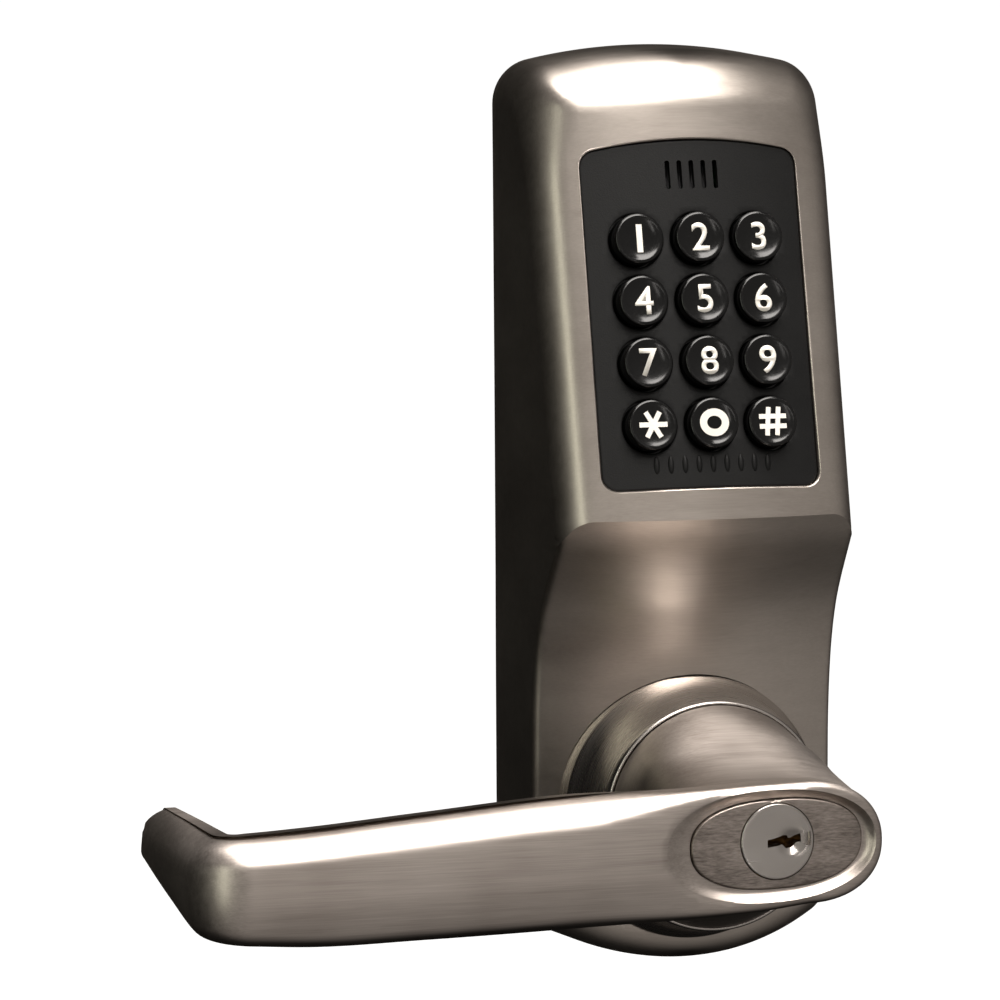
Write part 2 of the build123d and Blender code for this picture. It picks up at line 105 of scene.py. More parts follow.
# %% [markdown]
# Every shell here is a sheet over a flat outline, lifted to its height. The outline gets rings close
# to its edge, where the round-over bends fast, and a plain grid inside. One helper meshes such a
# sheet, and the casing, the fascia, the lever, the plate and the plug all use it.

# %% Mesh helpers
def inward_normals(loop):
    ahead, behind = np.roll(loop, -1, 0), np.roll(loop, 1, 0)
    along = ahead - behind
    along /= np.linalg.norm(along, axis=1)[:, None] + 1e-12
    return np.stack([-along[:, 1], along[:, 0]], 1)


def even_loop(loop, count):
    closed = np.vstack([loop, loop[:1]])
    run = np.concatenate([[0], np.cumsum(np.linalg.norm(np.diff(closed, axis=0), axis=1))])
    at = np.linspace(0, run[-1], count, endpoint=False)
    return np.stack([np.interp(at, run, closed[:, i]) for i in (0, 1)], 1)


def distance_to(points, loop, closed=True):
    """Distance from each point to a polyline."""
    a = loop if closed else loop[:-1]
    b = np.roll(loop, -1, 0) if closed else loop[1:]
    best = np.full(len(points), 1e9)
    for start, end in zip(a, b):
        run = end - start
        t = np.clip(((points - start) @ run) / (run @ run + 1e-12), 0, 1)
        gap = points - start - t[:, None] * run
        best = np.minimum(best, np.einsum("ij,ij->i", gap, gap))
    return np.sqrt(best)


def inside(points, loop):
    x, y = points[:, 0], points[:, 1]
    hit = np.zeros(len(points), bool)
    for (x0, y0), (x1, y1) in zip(loop, np.roll(loop, -1, 0)):
        if y0 == y1:
            continue
        cross = (y0 > y) != (y1 > y)
        hit ^= cross & (x < (x1 - x0) * (y - y0) / (y1 - y0) + x0)
    return hit


def sheet(outer, offsets, step, holes=(), seams=()):
    """Triangles over a flat outline: points, triangles, and the point numbers of each loop and seam."""
    points, edges, kept = [], [], []

    def add(line, closed=True):
        first, n = len(points), len(line)
        points.extend(map(tuple, line))
        edges.extend((first + i, first + (i + 1) % n) for i in range(n if closed else n - 1))
        kept.append(list(range(first, first + n)))

    add(outer)
    for hole in holes:
        add(hole)
    for seam in seams:
        add(seam, closed=False)
    normals = inward_normals(outer)
    loose = []
    for offset in offsets:
        ring = outer + normals * offset
        ring = ring[distance_to(ring, outer) > offset * 0.97 - 1e-6]
        loose.append(ring)
    low, high = outer.min(0), outer.max(0)
    xs = np.arange(low[0] + step / 2, high[0], step)
    ys = np.arange(low[1] + step / 2, high[1], step)
    grid = np.stack(np.meshgrid(xs, ys), -1).reshape(-1, 2)
    grid = grid[inside(grid, outer)]
    deepest = (offsets[-1] if len(offsets) else 0) + step * 0.5
    grid = grid[distance_to(grid, outer) > deepest]
    loose.append(grid)
    loose = np.vstack(loose)
    for hole in holes:
        loose = loose[~inside(loose, hole)]
        loose = loose[distance_to(loose, hole) > step * 0.3]
    for seam in seams:
        loose = loose[distance_to(loose, seam, closed=False) > step * 0.3]
    points.extend(map(tuple, loose))
    flat, _, faces, origin, _, _ = delaunay_2d_cdt([Vector(p) for p in points], edges, [], 0, 1e-5)
    flat = np.array([tuple(p) for p in flat])
    renumber = {}
    for new, olds in enumerate(origin):
        for old in olds:
            renumber[old] = new
    faces = np.array([f for f in faces if len(f) == 3])
    middle = flat[faces].mean(1)
    loops = [[renumber[i] for i in line] for line in kept]
    good = inside(middle, flat[loops[0]])
    for loop in loops[1:len(holes) + 1]:
        good &= ~inside(middle, flat[loop])
    faces = faces[good]
    a, b, c = flat[faces[:, 0]], flat[faces[:, 1]], flat[faces[:, 2]]
    area = (b[:, 0] - a[:, 0]) * (c[:, 1] - a[:, 1]) - (c[:, 0] - a[:, 0]) * (b[:, 1] - a[:, 1])
    faces = faces[np.abs(area) > 1e-9]
    area = area[np.abs(area) > 1e-9]
    faces[area < 0] = faces[area < 0][:, ::-1]
    return flat, faces, loops


MERGE = 1e-5


class Shell:
    """Collects points and faces of one piece, in millimetres."""

    def __init__(self):
        self.points, self.faces, self.sharp = [], [], set()

    def add(self, points):
        first = len(self.points)
        self.points.extend(tuple(map(float, p)) for p in points)
        return list(range(first, len(self.points)))

    def face(self, *corners):
        self.faces.append(tuple(corners))

    def skin(self, points, triangles, flip=False):
        """Adds the points of a sheet and its triangles, turned over if flip."""
        numbers = self.add(points)
        for triangle in triangles:
            corners = [numbers[i] for i in triangle]
            self.face(*(corners[::-1] if flip else corners))
        return numbers

    def strip(self, one, two):
        """Joins two rings with quads."""
        n = len(one)
        for i in range(n):
            j = (i + 1) % n
            self.face(one[i], one[j], two[j], two[i])

    def crease(self, line, closed=True):
        n = len(line)
        for i in range(n if closed else n - 1):
            self.sharp.add(frozenset((line[i], line[(i + 1) % n])))

    def build(self, name):
        mesh = bpy.data.meshes.new(name)
        mesh.from_pydata([Vector(p) * MM for p in self.points], [], self.faces)
        for edge in mesh.edges:
            if frozenset(edge.vertices) in self.sharp:
                edge.use_edge_sharp = True
        work = bmesh.new()
        work.from_mesh(mesh)
        bmesh.ops.remove_doubles(work, verts=work.verts, dist=MERGE * MM)
        bmesh.ops.recalc_face_normals(work, faces=work.faces)
        work.to_mesh(mesh)
        work.free()
        mesh.shade_smooth()
        print(name, len(mesh.vertices), "points", len(mesh.polygons), "faces")
        return placed(name, mesh)


def smooth_step(value):
    value = np.clip(value, 0.0, 1.0)
    return value * value * (3 - 2 * value)


def round_over(depth, radius):
    """How far a rounded edge has dropped at this distance in from the edge."""
    reach = np.clip(radius - depth, 0, radius)
    return radius - np.sqrt(np.maximum(radius * radius - reach * reach, 0))


def spun(profile, steps):
    """A ring turned about the lever axis from a closed loop of (radius, y) points."""
    shell = Shell()
    rings = [shell.add([(radius * math.cos(a), y, radius * math.sin(a)) for a in full_turn(steps)])
             for radius, y in profile]
    for one, two in zip(rings, rings[1:] + rings[:1]):
        shell.strip(one, two)
    return shell, rings


# %% [markdown]
# The casing is one zinc casting. Its front is the meeting of two surfaces: the keypad face, tilted
# back and gently crowned with big soft edges, and an S-shaped step below it with tight edges. The
# further back of the two wins at every point, and that gives the crisp line across the middle,
# which sags a little at its ends. The round-overs are worked out from the distance to the outline.

# %% Casing outline and surfaces
HALF_WIDTH, TOP_Z, TOP_RADIUS, BOTTOM_Z, BOTTOM_RADIUS = 39.0, 183.5, 140.0, -39.0, 71.0
TOP_CORNER, BOTTOM_CORNER, RIM_Y, WALL, CROWN_Y = 11.0, 7.5, -0.3, 3.5, 75.0
DRAFT = math.tan(math.radians(2.2))
TILT = math.radians(13.14)
FACE_Y, FACE_Z = -46.31, 115.99
STEP_Z = np.array([-60.0, 6.0, 20.0, 30.0, 38.0, 44.0, 50.0, 55.0, 60.0, 66.0, 71.7, 77.0, 84.0])
STEP_Y = np.array([-35.0, -35.0, -35.4, -36.4, -37.9, -39.7, -42.3, -45.4, -49.0, -53.4, -56.7, -59.6, -63.0])


def rounded_corner(centre, radius, start, stop, count):
    angles = np.linspace(start, stop, count)
    return [(centre[0] + radius * math.cos(a), centre[1] + radius * math.sin(a)) for a in angles]


def casing_outline():
    """The back outline, counter-clockwise as seen from outside."""
    top_y = TOP_Z - TOP_RADIUS
    bowl_y = BOTTOM_Z + BOTTOM_RADIUS
    tx = HALF_WIDTH - TOP_CORNER
    tz = top_y + math.sqrt((TOP_RADIUS - TOP_CORNER) ** 2 - tx ** 2)
    bx = HALF_WIDTH - BOTTOM_CORNER
    bz = bowl_y - math.sqrt((BOTTOM_RADIUS - BOTTOM_CORNER) ** 2 - bx ** 2)
    top_angle = math.atan2(tz - top_y, tx)
    low_angle = math.atan2(bz - bowl_y, bx)
    line = []
    line += rounded_corner((bx, bz), BOTTOM_CORNER, low_angle, 0, 20)
    line += rounded_corner((tx, tz), TOP_CORNER, 0, top_angle, 24)
    line += rounded_corner((0, top_y), TOP_RADIUS, top_angle, math.pi - top_angle, 60)
    line += rounded_corner((-tx, tz), TOP_CORNER, math.pi - top_angle, math.pi, 24)
    line += rounded_corner((-bx, bz), BOTTOM_CORNER, math.pi, math.pi - low_angle, 20)
    line += rounded_corner((0, bowl_y), BOTTOM_RADIUS, math.pi - low_angle, 2 * math.pi + low_angle, 60)
    return even_loop(np.array(line), 520)


def smooth_table(x, table_x, table_y):
    """A curve through table points, with the slope of the neighbours at each."""
    slope = np.gradient(table_y, table_x)
    at = np.clip(np.searchsorted(table_x, x) - 1, 0, len(table_x) - 2)
    h = table_x[at + 1] - table_x[at]
    t = np.clip((x - table_x[at]) / h, 0, 1)
    a, b = table_y[at], table_y[at + 1]
    return ((2 * t ** 3 - 3 * t ** 2 + 1) * a + (t ** 3 - 2 * t ** 2 + t) * h * slope[at]
            + (-2 * t ** 3 + 3 * t ** 2) * b + (t ** 3 - t ** 2) * h * slope[at + 1])


def keypad_face(x, z):
    reach = CROWN_Y - (FACE_Y - (FACE_Z - z) * math.tan(TILT))
    return CROWN_Y - np.sqrt(reach * reach - x * x)


def step_face(x, z):
    reach = CROWN_Y - smooth_table(z, STEP_Z, STEP_Y)
    return CROWN_Y - np.sqrt(reach * reach - x * x)


def edge_radius_above(z):
    return 7.5 + 5.5 * smooth_step((z - 150.0) / 28.0)


def edge_radius_below(z):
    return 1.6 + 6.0 * smooth_step((-14.0 - z) / 16.0)


def casing_front(points, depth):
    x, z = points[:, 0], points[:, 1]
    face = keypad_face(x, z) + round_over(depth, edge_radius_above(z))
    step = step_face(x, z) + round_over(depth, edge_radius_below(z))
    return np.maximum(face, step)


outline = casing_outline()
normals = inward_normals(outline)
edge = outline.copy()
for _ in range(3):
    height = casing_front(edge, np.zeros(len(edge)))
    edge = outline + normals * (np.abs(height) * DRAFT)[:, None]
print("front edge", edge.min(0).round(1), edge.max(0).round(1))


# %% Crease, window and rose hole
def crease_height(x):
    """Where the step meets the keypad face, found by halving the gap."""
    low, high = np.full(len(x), 40.0), np.full(len(x), 76.0)
    for _ in range(40):
        middle = (low + high) / 2
        points = np.stack([x, middle], 1)
        depth = distance_to(points, edge)
        face = keypad_face(x, middle) + round_over(depth, edge_radius_above(middle))
        step = step_face(x, middle) + round_over(depth, edge_radius_below(middle))
        above = face > step
        high = np.where(above, middle, high)
        low = np.where(above, low, middle)
    return (low + high) / 2


# The crease stops just short of the outline, at the narrowest place near its height.
CREASE_Z, CREASE_BAND, CREASE_GAP = 67, 6, 0.03
limit = float(np.abs(edge[np.abs(edge[:, 1] - CREASE_Z) < CREASE_BAND, 0]).min()) - CREASE_GAP
crease_x = limit * np.sin(np.linspace(-math.pi / 2, math.pi / 2, 120))
crease = np.stack([crease_x, crease_height(crease_x)], 1)
print("crease runs at", crease[:, 1].round(1)[[0, 5, 20, 60]])

FACE_X = Vector((1, 0, 0))
FACE_UP = Vector((0, math.sin(TILT), math.cos(TILT)))
FACE_OUT = Vector((0, -math.cos(TILT), math.sin(TILT)))
FACE_AT = Vector((0, FACE_Y, FACE_Z))
WINDOW_HALF, WINDOW_LOW, WINDOW_HIGH, WINDOW_ARCH = 27.3, -37.8, 46.7, 146.0
WINDOW_CORNER, WINDOW_POINTS, WINDOW_LIP, FACE_CROWN = 3.9, 220, 0.45, 250.0


def on_face(u, v, out=0.0):
    """A point on the tilted keypad plane, raised along its normal."""
    return FACE_AT + float(u) * FACE_X + float(v) * FACE_UP + float(out) * FACE_OUT


def crown_drop(u):
    """The keypad face falls away slightly to both sides."""
    return -u * u / FACE_CROWN


def window_outline(inset):
    half = WINDOW_HALF - inset
    centre = WINDOW_HIGH - WINDOW_ARCH
    arch = WINDOW_ARCH - inset
    corner = max(WINDOW_CORNER - inset, 0.8)
    side = half - corner
    high = centre + math.sqrt((arch - corner) ** 2 - side ** 2)
    low = WINDOW_LOW + inset + corner
    angle = math.atan2(high - centre, side)
    line = []
    line += rounded_corner((side, low), corner, -math.pi / 2, 0, 12)
    line += rounded_corner((side, high), corner, 0, angle, 12)
    line += rounded_corner((0, centre), arch, angle, math.pi - angle, 40)
    line += rounded_corner((-side, high), corner, math.pi - angle, math.pi, 12)
    line += rounded_corner((-side, low), corner, math.pi, 1.5 * math.pi, 12)
    return even_loop(np.array(line), WINDOW_POINTS)


def face_point(u, v, out):
    """A point on the crowned keypad face, raised by out."""
    return tuple(on_face(u, v, out + crown_drop(u)))


def window_ring(inset, out):
    return [face_point(u, v, out) for u, v in window_outline(inset)]


def window_hole(inset):
    """The window's outline as seen from straight in front."""
    return np.array([(p[0], p[2]) for p in window_ring(inset, 0.0)])


window_flat = window_hole(-WINDOW_LIP)
angles = full_turn(200)
ROSE_HOLE, BUSH_R = 32.25, 18.05
rose_flat = np.stack([ROSE_HOLE * np.cos(angles), ROSE_HOLE * np.sin(angles)], 1)

# %% Casing shell
CASING_RINGS = [0.02, 0.08, 0.2, 0.4, 0.7, 1.1, 1.6, 2.3, 3.1, 4.0, 5.0, 6.2, 7.6]
flat, faces, loops = sheet(edge, CASING_RINGS, 1.6, holes=[window_flat, rose_flat], seams=[crease])
depth = distance_to(flat, edge)
depth[loops[0]] = 0.0
height = casing_front(flat, depth)
casing = Shell()
front = casing.skin(np.stack([flat[:, 0], height, flat[:, 1]], 1), faces)
edge_line, window_line, rose_line, crease_line = [[front[i] for i in loop] for loop in loops]
casing.crease(crease_line, closed=False)
casing.crease(window_line)

# The sides run back to the rim with the draft, and the last ring has a small chamfer.
RIM_CHAMFER = 0.25
last = edge_line
for share in (0.75, 0.5, 0.25, 0.02, 0.0):
    rows = []
    for i, (x, z) in enumerate(outline):
        y = RIM_Y + (casing.points[edge_line[i]][1] - RIM_Y) * share
        inset = abs(y) * DRAFT + (RIM_CHAMFER if share == 0.0 else 0.0)
        rows.append((x + normals[i, 0] * inset, y, z + normals[i, 1] * inset))
    ring = casing.add(rows)
    casing.strip(last, ring)
    last = ring
casing.crease(last)
inner_rim = outline + normals * WALL
rim = casing.add([(x, RIM_Y, z) for x, z in inner_rim])
casing.strip(last, rim)
casing.crease(rim)

# Inner skin: a plain copy of the front, one wall thickness back.
LEDGE = 3.0
inner_edge = outline + normals * (WALL + 1.2)
ledge_hole = even_loop(window_hole(LEDGE), WINDOW_POINTS)
iflat, ifaces, iloops = sheet(inner_edge, [1.0], 5.0, holes=[ledge_hole, rose_flat])
idepth = distance_to(iflat, edge)
iheight = casing_front(iflat, idepth) + WALL
inner = casing.skin(np.stack([iflat[:, 0], iheight, iflat[:, 1]], 1), ifaces, flip=True)
inner_loop, inner_window, inner_rose = [[inner[i] for i in loop] for loop in iloops]
casing.strip(rim, inner_loop)
casing.crease(inner_loop)

# Window: a small lip, the wall down to the ledge, the ledge, and the wall through.
LEDGE_DEEP = -2.3
steps = [casing.add(window_ring(inset, out))
         for inset, out in ((-0.13, -0.14), (0.0, -0.45), (0.0, LEDGE_DEEP), (LEDGE, LEDGE_DEEP))]
for one, two in zip([window_line] + steps[:-1], steps):
    casing.strip(one, two)
# The inner skin's loop starts elsewhere, so it is turned to begin at the nearest point.
corner = casing.points[steps[-1][0]]
start = int(np.argmin([(casing.points[i][0] - corner[0]) ** 2 + (casing.points[i][2] - corner[2]) ** 2
                       for i in inner_window]))
inner_window = inner_window[start:] + inner_window[:start]
casing.strip(steps[-1], inner_window)
for ring in (steps[2], steps[3], inner_window):
    casing.crease(ring)

# Seat for the rose: a socket with a smaller hole through its floor.
SEAT_Y, SEAT_BACK = -30.5, -26.5
seat = [rose_line]
for radius, y in ((ROSE_HOLE, SEAT_Y), (BUSH_R, SEAT_Y), (BUSH_R, SEAT_BACK), (ROSE_HOLE, SEAT_BACK)):
    seat.append(casing.add([(x * radius / ROSE_HOLE, y, z * radius / ROSE_HOLE) for x, z in rose_flat]))
seat.append(inner_rose)
for one, two in zip(seat, seat[1:]):
    casing.strip(one, two)
for ring in seat:
    casing.crease(ring)
casing_piece = casing.build("casing_body")

# %% [markdown]
# The fascia is a thin moulded panel with a fine matt texture, set a little below the casing. The
# keys come up through twelve round holes. Above them is a row of sound slots, and below them a
# row of small raised ribs, which Geometry Nodes repeat from one rib.

# %% Fascia panel
KEY_PITCH, KEY_HOLE = 15.0, 6.5
KEY_NAMES = ["1", "2", "3", "4", "5", "6", "7", "8", "9", "star", "0", "hash"]
KEY_UV = {name: ((i % 3 - 1) * KEY_PITCH, (1.5 - i // 3) * KEY_PITCH) for i, name in enumerate(KEY_NAMES)}
FASCIA_TOP, FASCIA_BACK, HOLE_SOFT = -0.8, -2.3, 0.45


def circle(u, v, radius, count=56):
    turns = full_turn(count)
    return np.stack([u + radius * np.cos(turns), v + radius * np.sin(turns)], 1)


def slot_loop(u, v, tall, wide):
    turns = full_turn(28)
    x, y = wide / 2 * np.cos(turns), wide / 2 * np.sin(turns)
    return np.stack([u + x, v + y + np.sign(np.round(y, 6)) * (tall - wide) / 2], 1)


fascia_outer = window_outline(0.08)
HOLE_OUTER = KEY_HOLE + HOLE_SOFT
key_holes = [circle(u, v, HOLE_OUTER) for u, v in KEY_UV.values()]
SLOT_COUNT, SLOT_PITCH, SLOT_UP, SLOT_TALL, SLOT_WIDE = 5, 3, 38.2, 7.0, 1.2
sound_slots = [slot_loop(-6 + SLOT_PITCH * i, SLOT_UP, SLOT_TALL, SLOT_WIDE) for i in range(SLOT_COUNT)]
flat, faces, loops = sheet(fascia_outer, [0.1, 0.25, 0.5, 0.9], 1.5, holes=key_holes + sound_slots)
depth = distance_to(flat, fascia_outer)
fascia = Shell()
drops = round_over(depth, 0.35)
top = fascia.skin([face_point(u, v, FASCIA_TOP - drop) for (u, v), drop in zip(flat, drops)], faces)
bottom = fascia.skin([face_point(u, v, FASCIA_BACK) for u, v in flat], faces, flip=True)
for index, loop in enumerate(loops):
    upper, lower = [top[i] for i in loop], [bottom[i] for i in loop]
    if 0 < index <= len(key_holes):
        u0, v0 = list(KEY_UV.values())[index - 1]
        last = upper
        for turn_deg in (30, 60, 90):
            a = math.radians(turn_deg)
            r = KEY_HOLE + HOLE_SOFT * (1 - math.sin(a))
            out = FASCIA_TOP - HOLE_SOFT * (1 - math.cos(a))
            ring = fascia.add([face_point(u0 + (flat[i, 0] - u0) * r / HOLE_OUTER,
                                          v0 + (flat[i, 1] - v0) * r / HOLE_OUTER, out) for i in loop])
            fascia.strip(last, ring)
            last = ring
        fascia.strip(last, lower)
    else:
        fascia.strip(upper, lower)
        fascia.crease(upper)
    fascia.crease(lower)
fascia_piece = fascia.build("fascia_panel")


# %% Rib strip in Geometry Nodes
def add_node(tree, kind, values=(), links=(), **properties):
    """Adds a node, sets its properties and input values, and links output sockets to its inputs."""
    node = tree.nodes.new(kind)
    for key, value in properties.items():
        setattr(node, key, value)
    for key, value in dict(values).items():
        node.inputs[key].default_value = value
    for key, source in dict(links).items():
        tree.links.new(source, node.inputs[key])
    return node


def rib_tree(material):
    tree = bpy.data.node_groups.new("rib_row", "GeometryNodeTree")
    face = tree.interface
    face.new_socket("Geometry", in_out="OUTPUT", socket_type="NodeSocketGeometry")
    wanted = (("Count", "NodeSocketInt"), ("Pitch", "NodeSocketFloat"), ("Rib Size", "NodeSocketVector"))
    for name, kind in wanted:
        face.new_socket(name, in_out="INPUT", socket_type=kind)
    entry = tree.nodes.new("NodeGroupInput")
    leave = tree.nodes.new("NodeGroupOutput")
    step = add_node(tree, "ShaderNodeCombineXYZ", links={"X": entry.outputs["Pitch"]})
    line = add_node(tree, "GeometryNodeMeshLine",
                    links={"Count": entry.outputs["Count"], "Offset": step.outputs[0]})
    ball = add_node(tree, "GeometryNodeMeshUVSphere", {"Segments": 24, "Rings": 14, "Radius": 0.5})
    many = add_node(tree, "GeometryNodeInstanceOnPoints",
                    links={"Points": line.outputs["Mesh"], "Instance": ball.outputs["Mesh"],
                           "Scale": entry.outputs["Rib Size"]})
    real = add_node(tree, "GeometryNodeRealizeInstances", links={"Geometry": many.outputs["Instances"]})
    paint = add_node(tree, "GeometryNodeSetMaterial", {"Material": material},
                     {"Geometry": real.outputs["Geometry"]})
    tree.links.new(paint.outputs["Geometry"], leave.inputs["Geometry"])
    return tree


def evaluated_mesh(piece):
    """A new mesh of the piece with its modifiers applied, or of a curve."""
    bpy.context.view_layer.update()
    return bpy.data.meshes.new_from_object(piece.evaluated_get(bpy.context.evaluated_depsgraph_get()))


def from_nodes(name, tree, inputs):
    """Runs a Geometry Nodes tree once and keeps its result as a plain mesh."""
    holder = placed(name + "_maker", bpy.data.meshes.new(name + "_maker"))
    modifier = holder.modifiers.new("nodes", "NODES")
    modifier.node_group = tree
    for item in tree.interface.items_tree:
        if item.in_out == "INPUT" and item.name in inputs:
            modifier[item.identifier] = inputs[item.name]
    mesh = evaluated_mesh(holder)
    bpy.data.objects.remove(holder)
    mesh.name = name
    mesh.shade_smooth()
    print(name, len(mesh.vertices), "points from nodes")
    return placed(name, mesh)


# %% [markdown]
# The keys are glossy moulded caps, dished a little so that the rim catches a ring of light. Each
# sign is a thin white inlay. The figures come from the built-in font, made heavier, and the ring,
# the star, the hash and the bar are drawn from plain strokes.

# %% Key caps
CAP_PROFILE = [(0.0, 2.14), (1.5, 2.15), (3.0, 2.2), (4.2, 2.3), (4.9, 2.42), (5.25, 2.49), (5.5, 2.5),
               (5.75, 2.44), (5.95, 2.28), (6.08, 2.05), (6.15, 1.7), (6.15, -4.4), (6.9, -4.4), (6.9, -5.1),
               (3.0, -5.1), (3.0, -5.2), (0.0, -5.2)]
CAP_TURNS = 72


def make_cap(name):
    u, v = KEY_UV[name]
    shell = Shell()
    rings = []
    for radius, out in CAP_PROFILE:
        # The flange below the fascia is flat, and only the visible part follows the crown.
        out += 0.0 if out < -4 else crown_drop(u)
        turns = full_turn(CAP_TURNS) if radius else [0.0]
        rings.append(shell.add([on_face(u + radius * math.cos(a), v + radius * math.sin(a), out) for a in turns]))
    for one, two in zip(rings, rings[1:]):
        if len(one) == 1 or len(two) == 1:
            hub, rim_ring = (one[0], two) if len(one) == 1 else (two[0], one)
            for i in range(CAP_TURNS):
                shell.face(hub, rim_ring[i], rim_ring[(i + 1) % CAP_TURNS])
        else:
            shell.strip(one, two)
    for ring in rings[11:16]:
        shell.crease(ring)
    return shell.build("keycap_" + name)


caps = {name: make_cap(name) for name in KEY_NAMES}

# %% Key signs
GLYPH_BASE, GLYPH_TOP, SIGN_TALL = 2.1, 2.3, 6.8


def bar(x, y, long, wide, degrees):
    a = math.radians(degrees)
    along = np.array([math.cos(a), math.sin(a)]) * long / 2
    across = np.array([-math.sin(a), math.cos(a)]) * wide / 2
    centre = np.array([x, y])
    return [centre - along - across, centre + along - across, centre + along + across, centre - along + across]


def stroke_sign(name):
    """Closed outlines of the signs drawn from plain strokes, in mm."""
    if name == "1":
        return [bar(0, 0, 6.8, 1.45, 90)]
    if name == "star":
        return [bar(0, 0, 7.0, 1.2, angle) for angle in (0, 60, 120)]
    if name == "hash":
        return [bar(-1.25, 0, 6.9, 1.15, 84), bar(1.25, 0, 6.9, 1.15, 84),
                bar(0, 1.2, 6.8, 1.15, 0), bar(0, -1.2, 6.8, 1.15, 0)]
    return []


def sign_flat(name):
    """A flat mesh of the sign, about SIGN_TALL high and centred."""
    curve = bpy.data.curves.new("sign", "CURVE" if stroke_sign(name) or name == "0" else "FONT")
    if name == "0":
        curve.dimensions = "2D"
        curve.fill_mode = "BOTH"
        for rx, ry in ((3.65, 3.35), (1.85, 1.6)):
            spline = curve.splines.new("POLY")
            turns = full_turn(64)
            spline.points.add(len(turns) - 1)
            for point, a in zip(spline.points, turns):
                point.co = (rx * math.cos(a), ry * math.sin(a), 0, 1)
            spline.use_cyclic_u = True
    elif stroke_sign(name):
        bpy.data.curves.remove(curve)
        work = bmesh.new()
        for k, corners in enumerate(stroke_sign(name)):
            work.faces.new([work.verts.new((x, y, 0.004 * k)) for x, y in corners])
        mesh = bpy.data.meshes.new("sign")
        work.to_mesh(mesh)
        work.free()
        return mesh
    else:
        curve.body = name
        curve.size = 9.2
        curve.offset = 0.12
        curve.resolution_u = 8
    holder = placed("sign", curve)
    mesh = evaluated_mesh(holder)
    bpy.data.objects.remove(holder)
    points = np.array([v.co[:] for v in mesh.vertices])
    middle = (points.min(0) + points.max(0)) / 2
    scale = SIGN_TALL / np.ptp(points[:, 1]) if name != "0" else 1.0
    for vertex, point in zip(mesh.vertices, (points - middle) * scale):
        vertex.co = point
    return mesh


def make_sign(name):
    u, v = KEY_UV[name]
    mesh = sign_flat(name)
    work = bmesh.new()
    work.from_mesh(mesh)
    bmesh.ops.remove_doubles(work, verts=work.verts, dist=1e-4)
    for item in bmesh.ops.extrude_face_region(work, geom=list(work.faces))["geom"]:
        if isinstance(item, bmesh.types.BMVert):
            item.co.z += GLYPH_TOP - GLYPH_BASE
    bmesh.ops.recalc_face_normals(work, faces=work.faces)
    for vertex in work.verts:
        out = GLYPH_BASE + vertex.co.z + crown_drop(u)
        vertex.co = on_face(u + vertex.co.x, v + vertex.co.y, out) * MM
    work.to_mesh(mesh)
    work.free()
    mesh.name = "keysign_" + name
    return placed("keysign_" + name, mesh)


signs = {name: make_sign(name) for name in KEY_NAMES}
print("signs", len(signs))

# %% [markdown]
# The rose is a turned flared ring between the casing and the lever. Its front edge has a thin
# polished lip, which shows as a bright line around the neck.

# %% Rose
ROSE_OUTSIDE = [(32.1, SEAT_Y), (32.1, -35.9), (31.95, -36.6), (31.5, -37.3), (30.9, -38.4), (30.0, -40.3),
                (29.3, -42.4), (28.75, -44.8), (28.35, -47.4), (28.1, -50.0), (27.95, -52.4), (27.85, -53.9),
                (27.65, -54.35), (27.35, -54.6), (27.0, -54.6), (26.8, -54.4), (26.7, -54.0)]
ROSE_INSIDE = [(24.6, -52.6), (18.1, -52.6), (18.1, -50.2), (24.0, -50.2), (25.6, -43.0), (28.4, -37.0),
               (28.4, -33.6), (18.1, -33.6), (18.1, SEAT_Y)]
rose_shell, rings = spun(ROSE_OUTSIDE + ROSE_INSIDE, 220)
for ring in rings[:1] + rings[16:]:
    rose_shell.crease(ring)
rose_piece = rose_shell.build("rose_ring")

# %% [markdown]
# The lever is one casting: a flat bar with a full rounded front, bent back at its free end, on an
# oval neck. The bar is drawn unrolled, as an outline of length against height, and its front and
# back skins are then rolled around the bend. The head carries a dished oval for the cylinder plate.

# %% Lever bar, unrolled
LEVER_FRONT, LEVER_THICK, BEND_R = -99.6, 11.0, 13.0
NOSE_X, BEND_X = 26.2, -126.0
BEND_START = NOSE_X - BEND_X
BEND_END = BEND_START + BEND_R * math.pi / 2
LEVER_END = BEND_END + (-39.0 - (LEVER_FRONT + BEND_R))
NOSE_LONG, TIP_R = 18.2, 3.0
# Heights of the top and bottom edges at the same lengths along the bar.
BAR_S = np.array([NOSE_LONG, 30.0, 43.2, 77.2, 110.2, 138.2, 152.0, 162.0, BEND_END, 192.0, LEVER_END])
TOP_H = np.array([13.7, 13.4, 12.7, 11.9, 9.4, 7.2, 6.5, 6.3, 6.2, 6.4, 6.5])
LOW_H = np.array([-15.1, -16.5, -17.5, -18.9, -19.6, -19.8, -18.9, -18.3, -17.3, -13.0, -6.2])


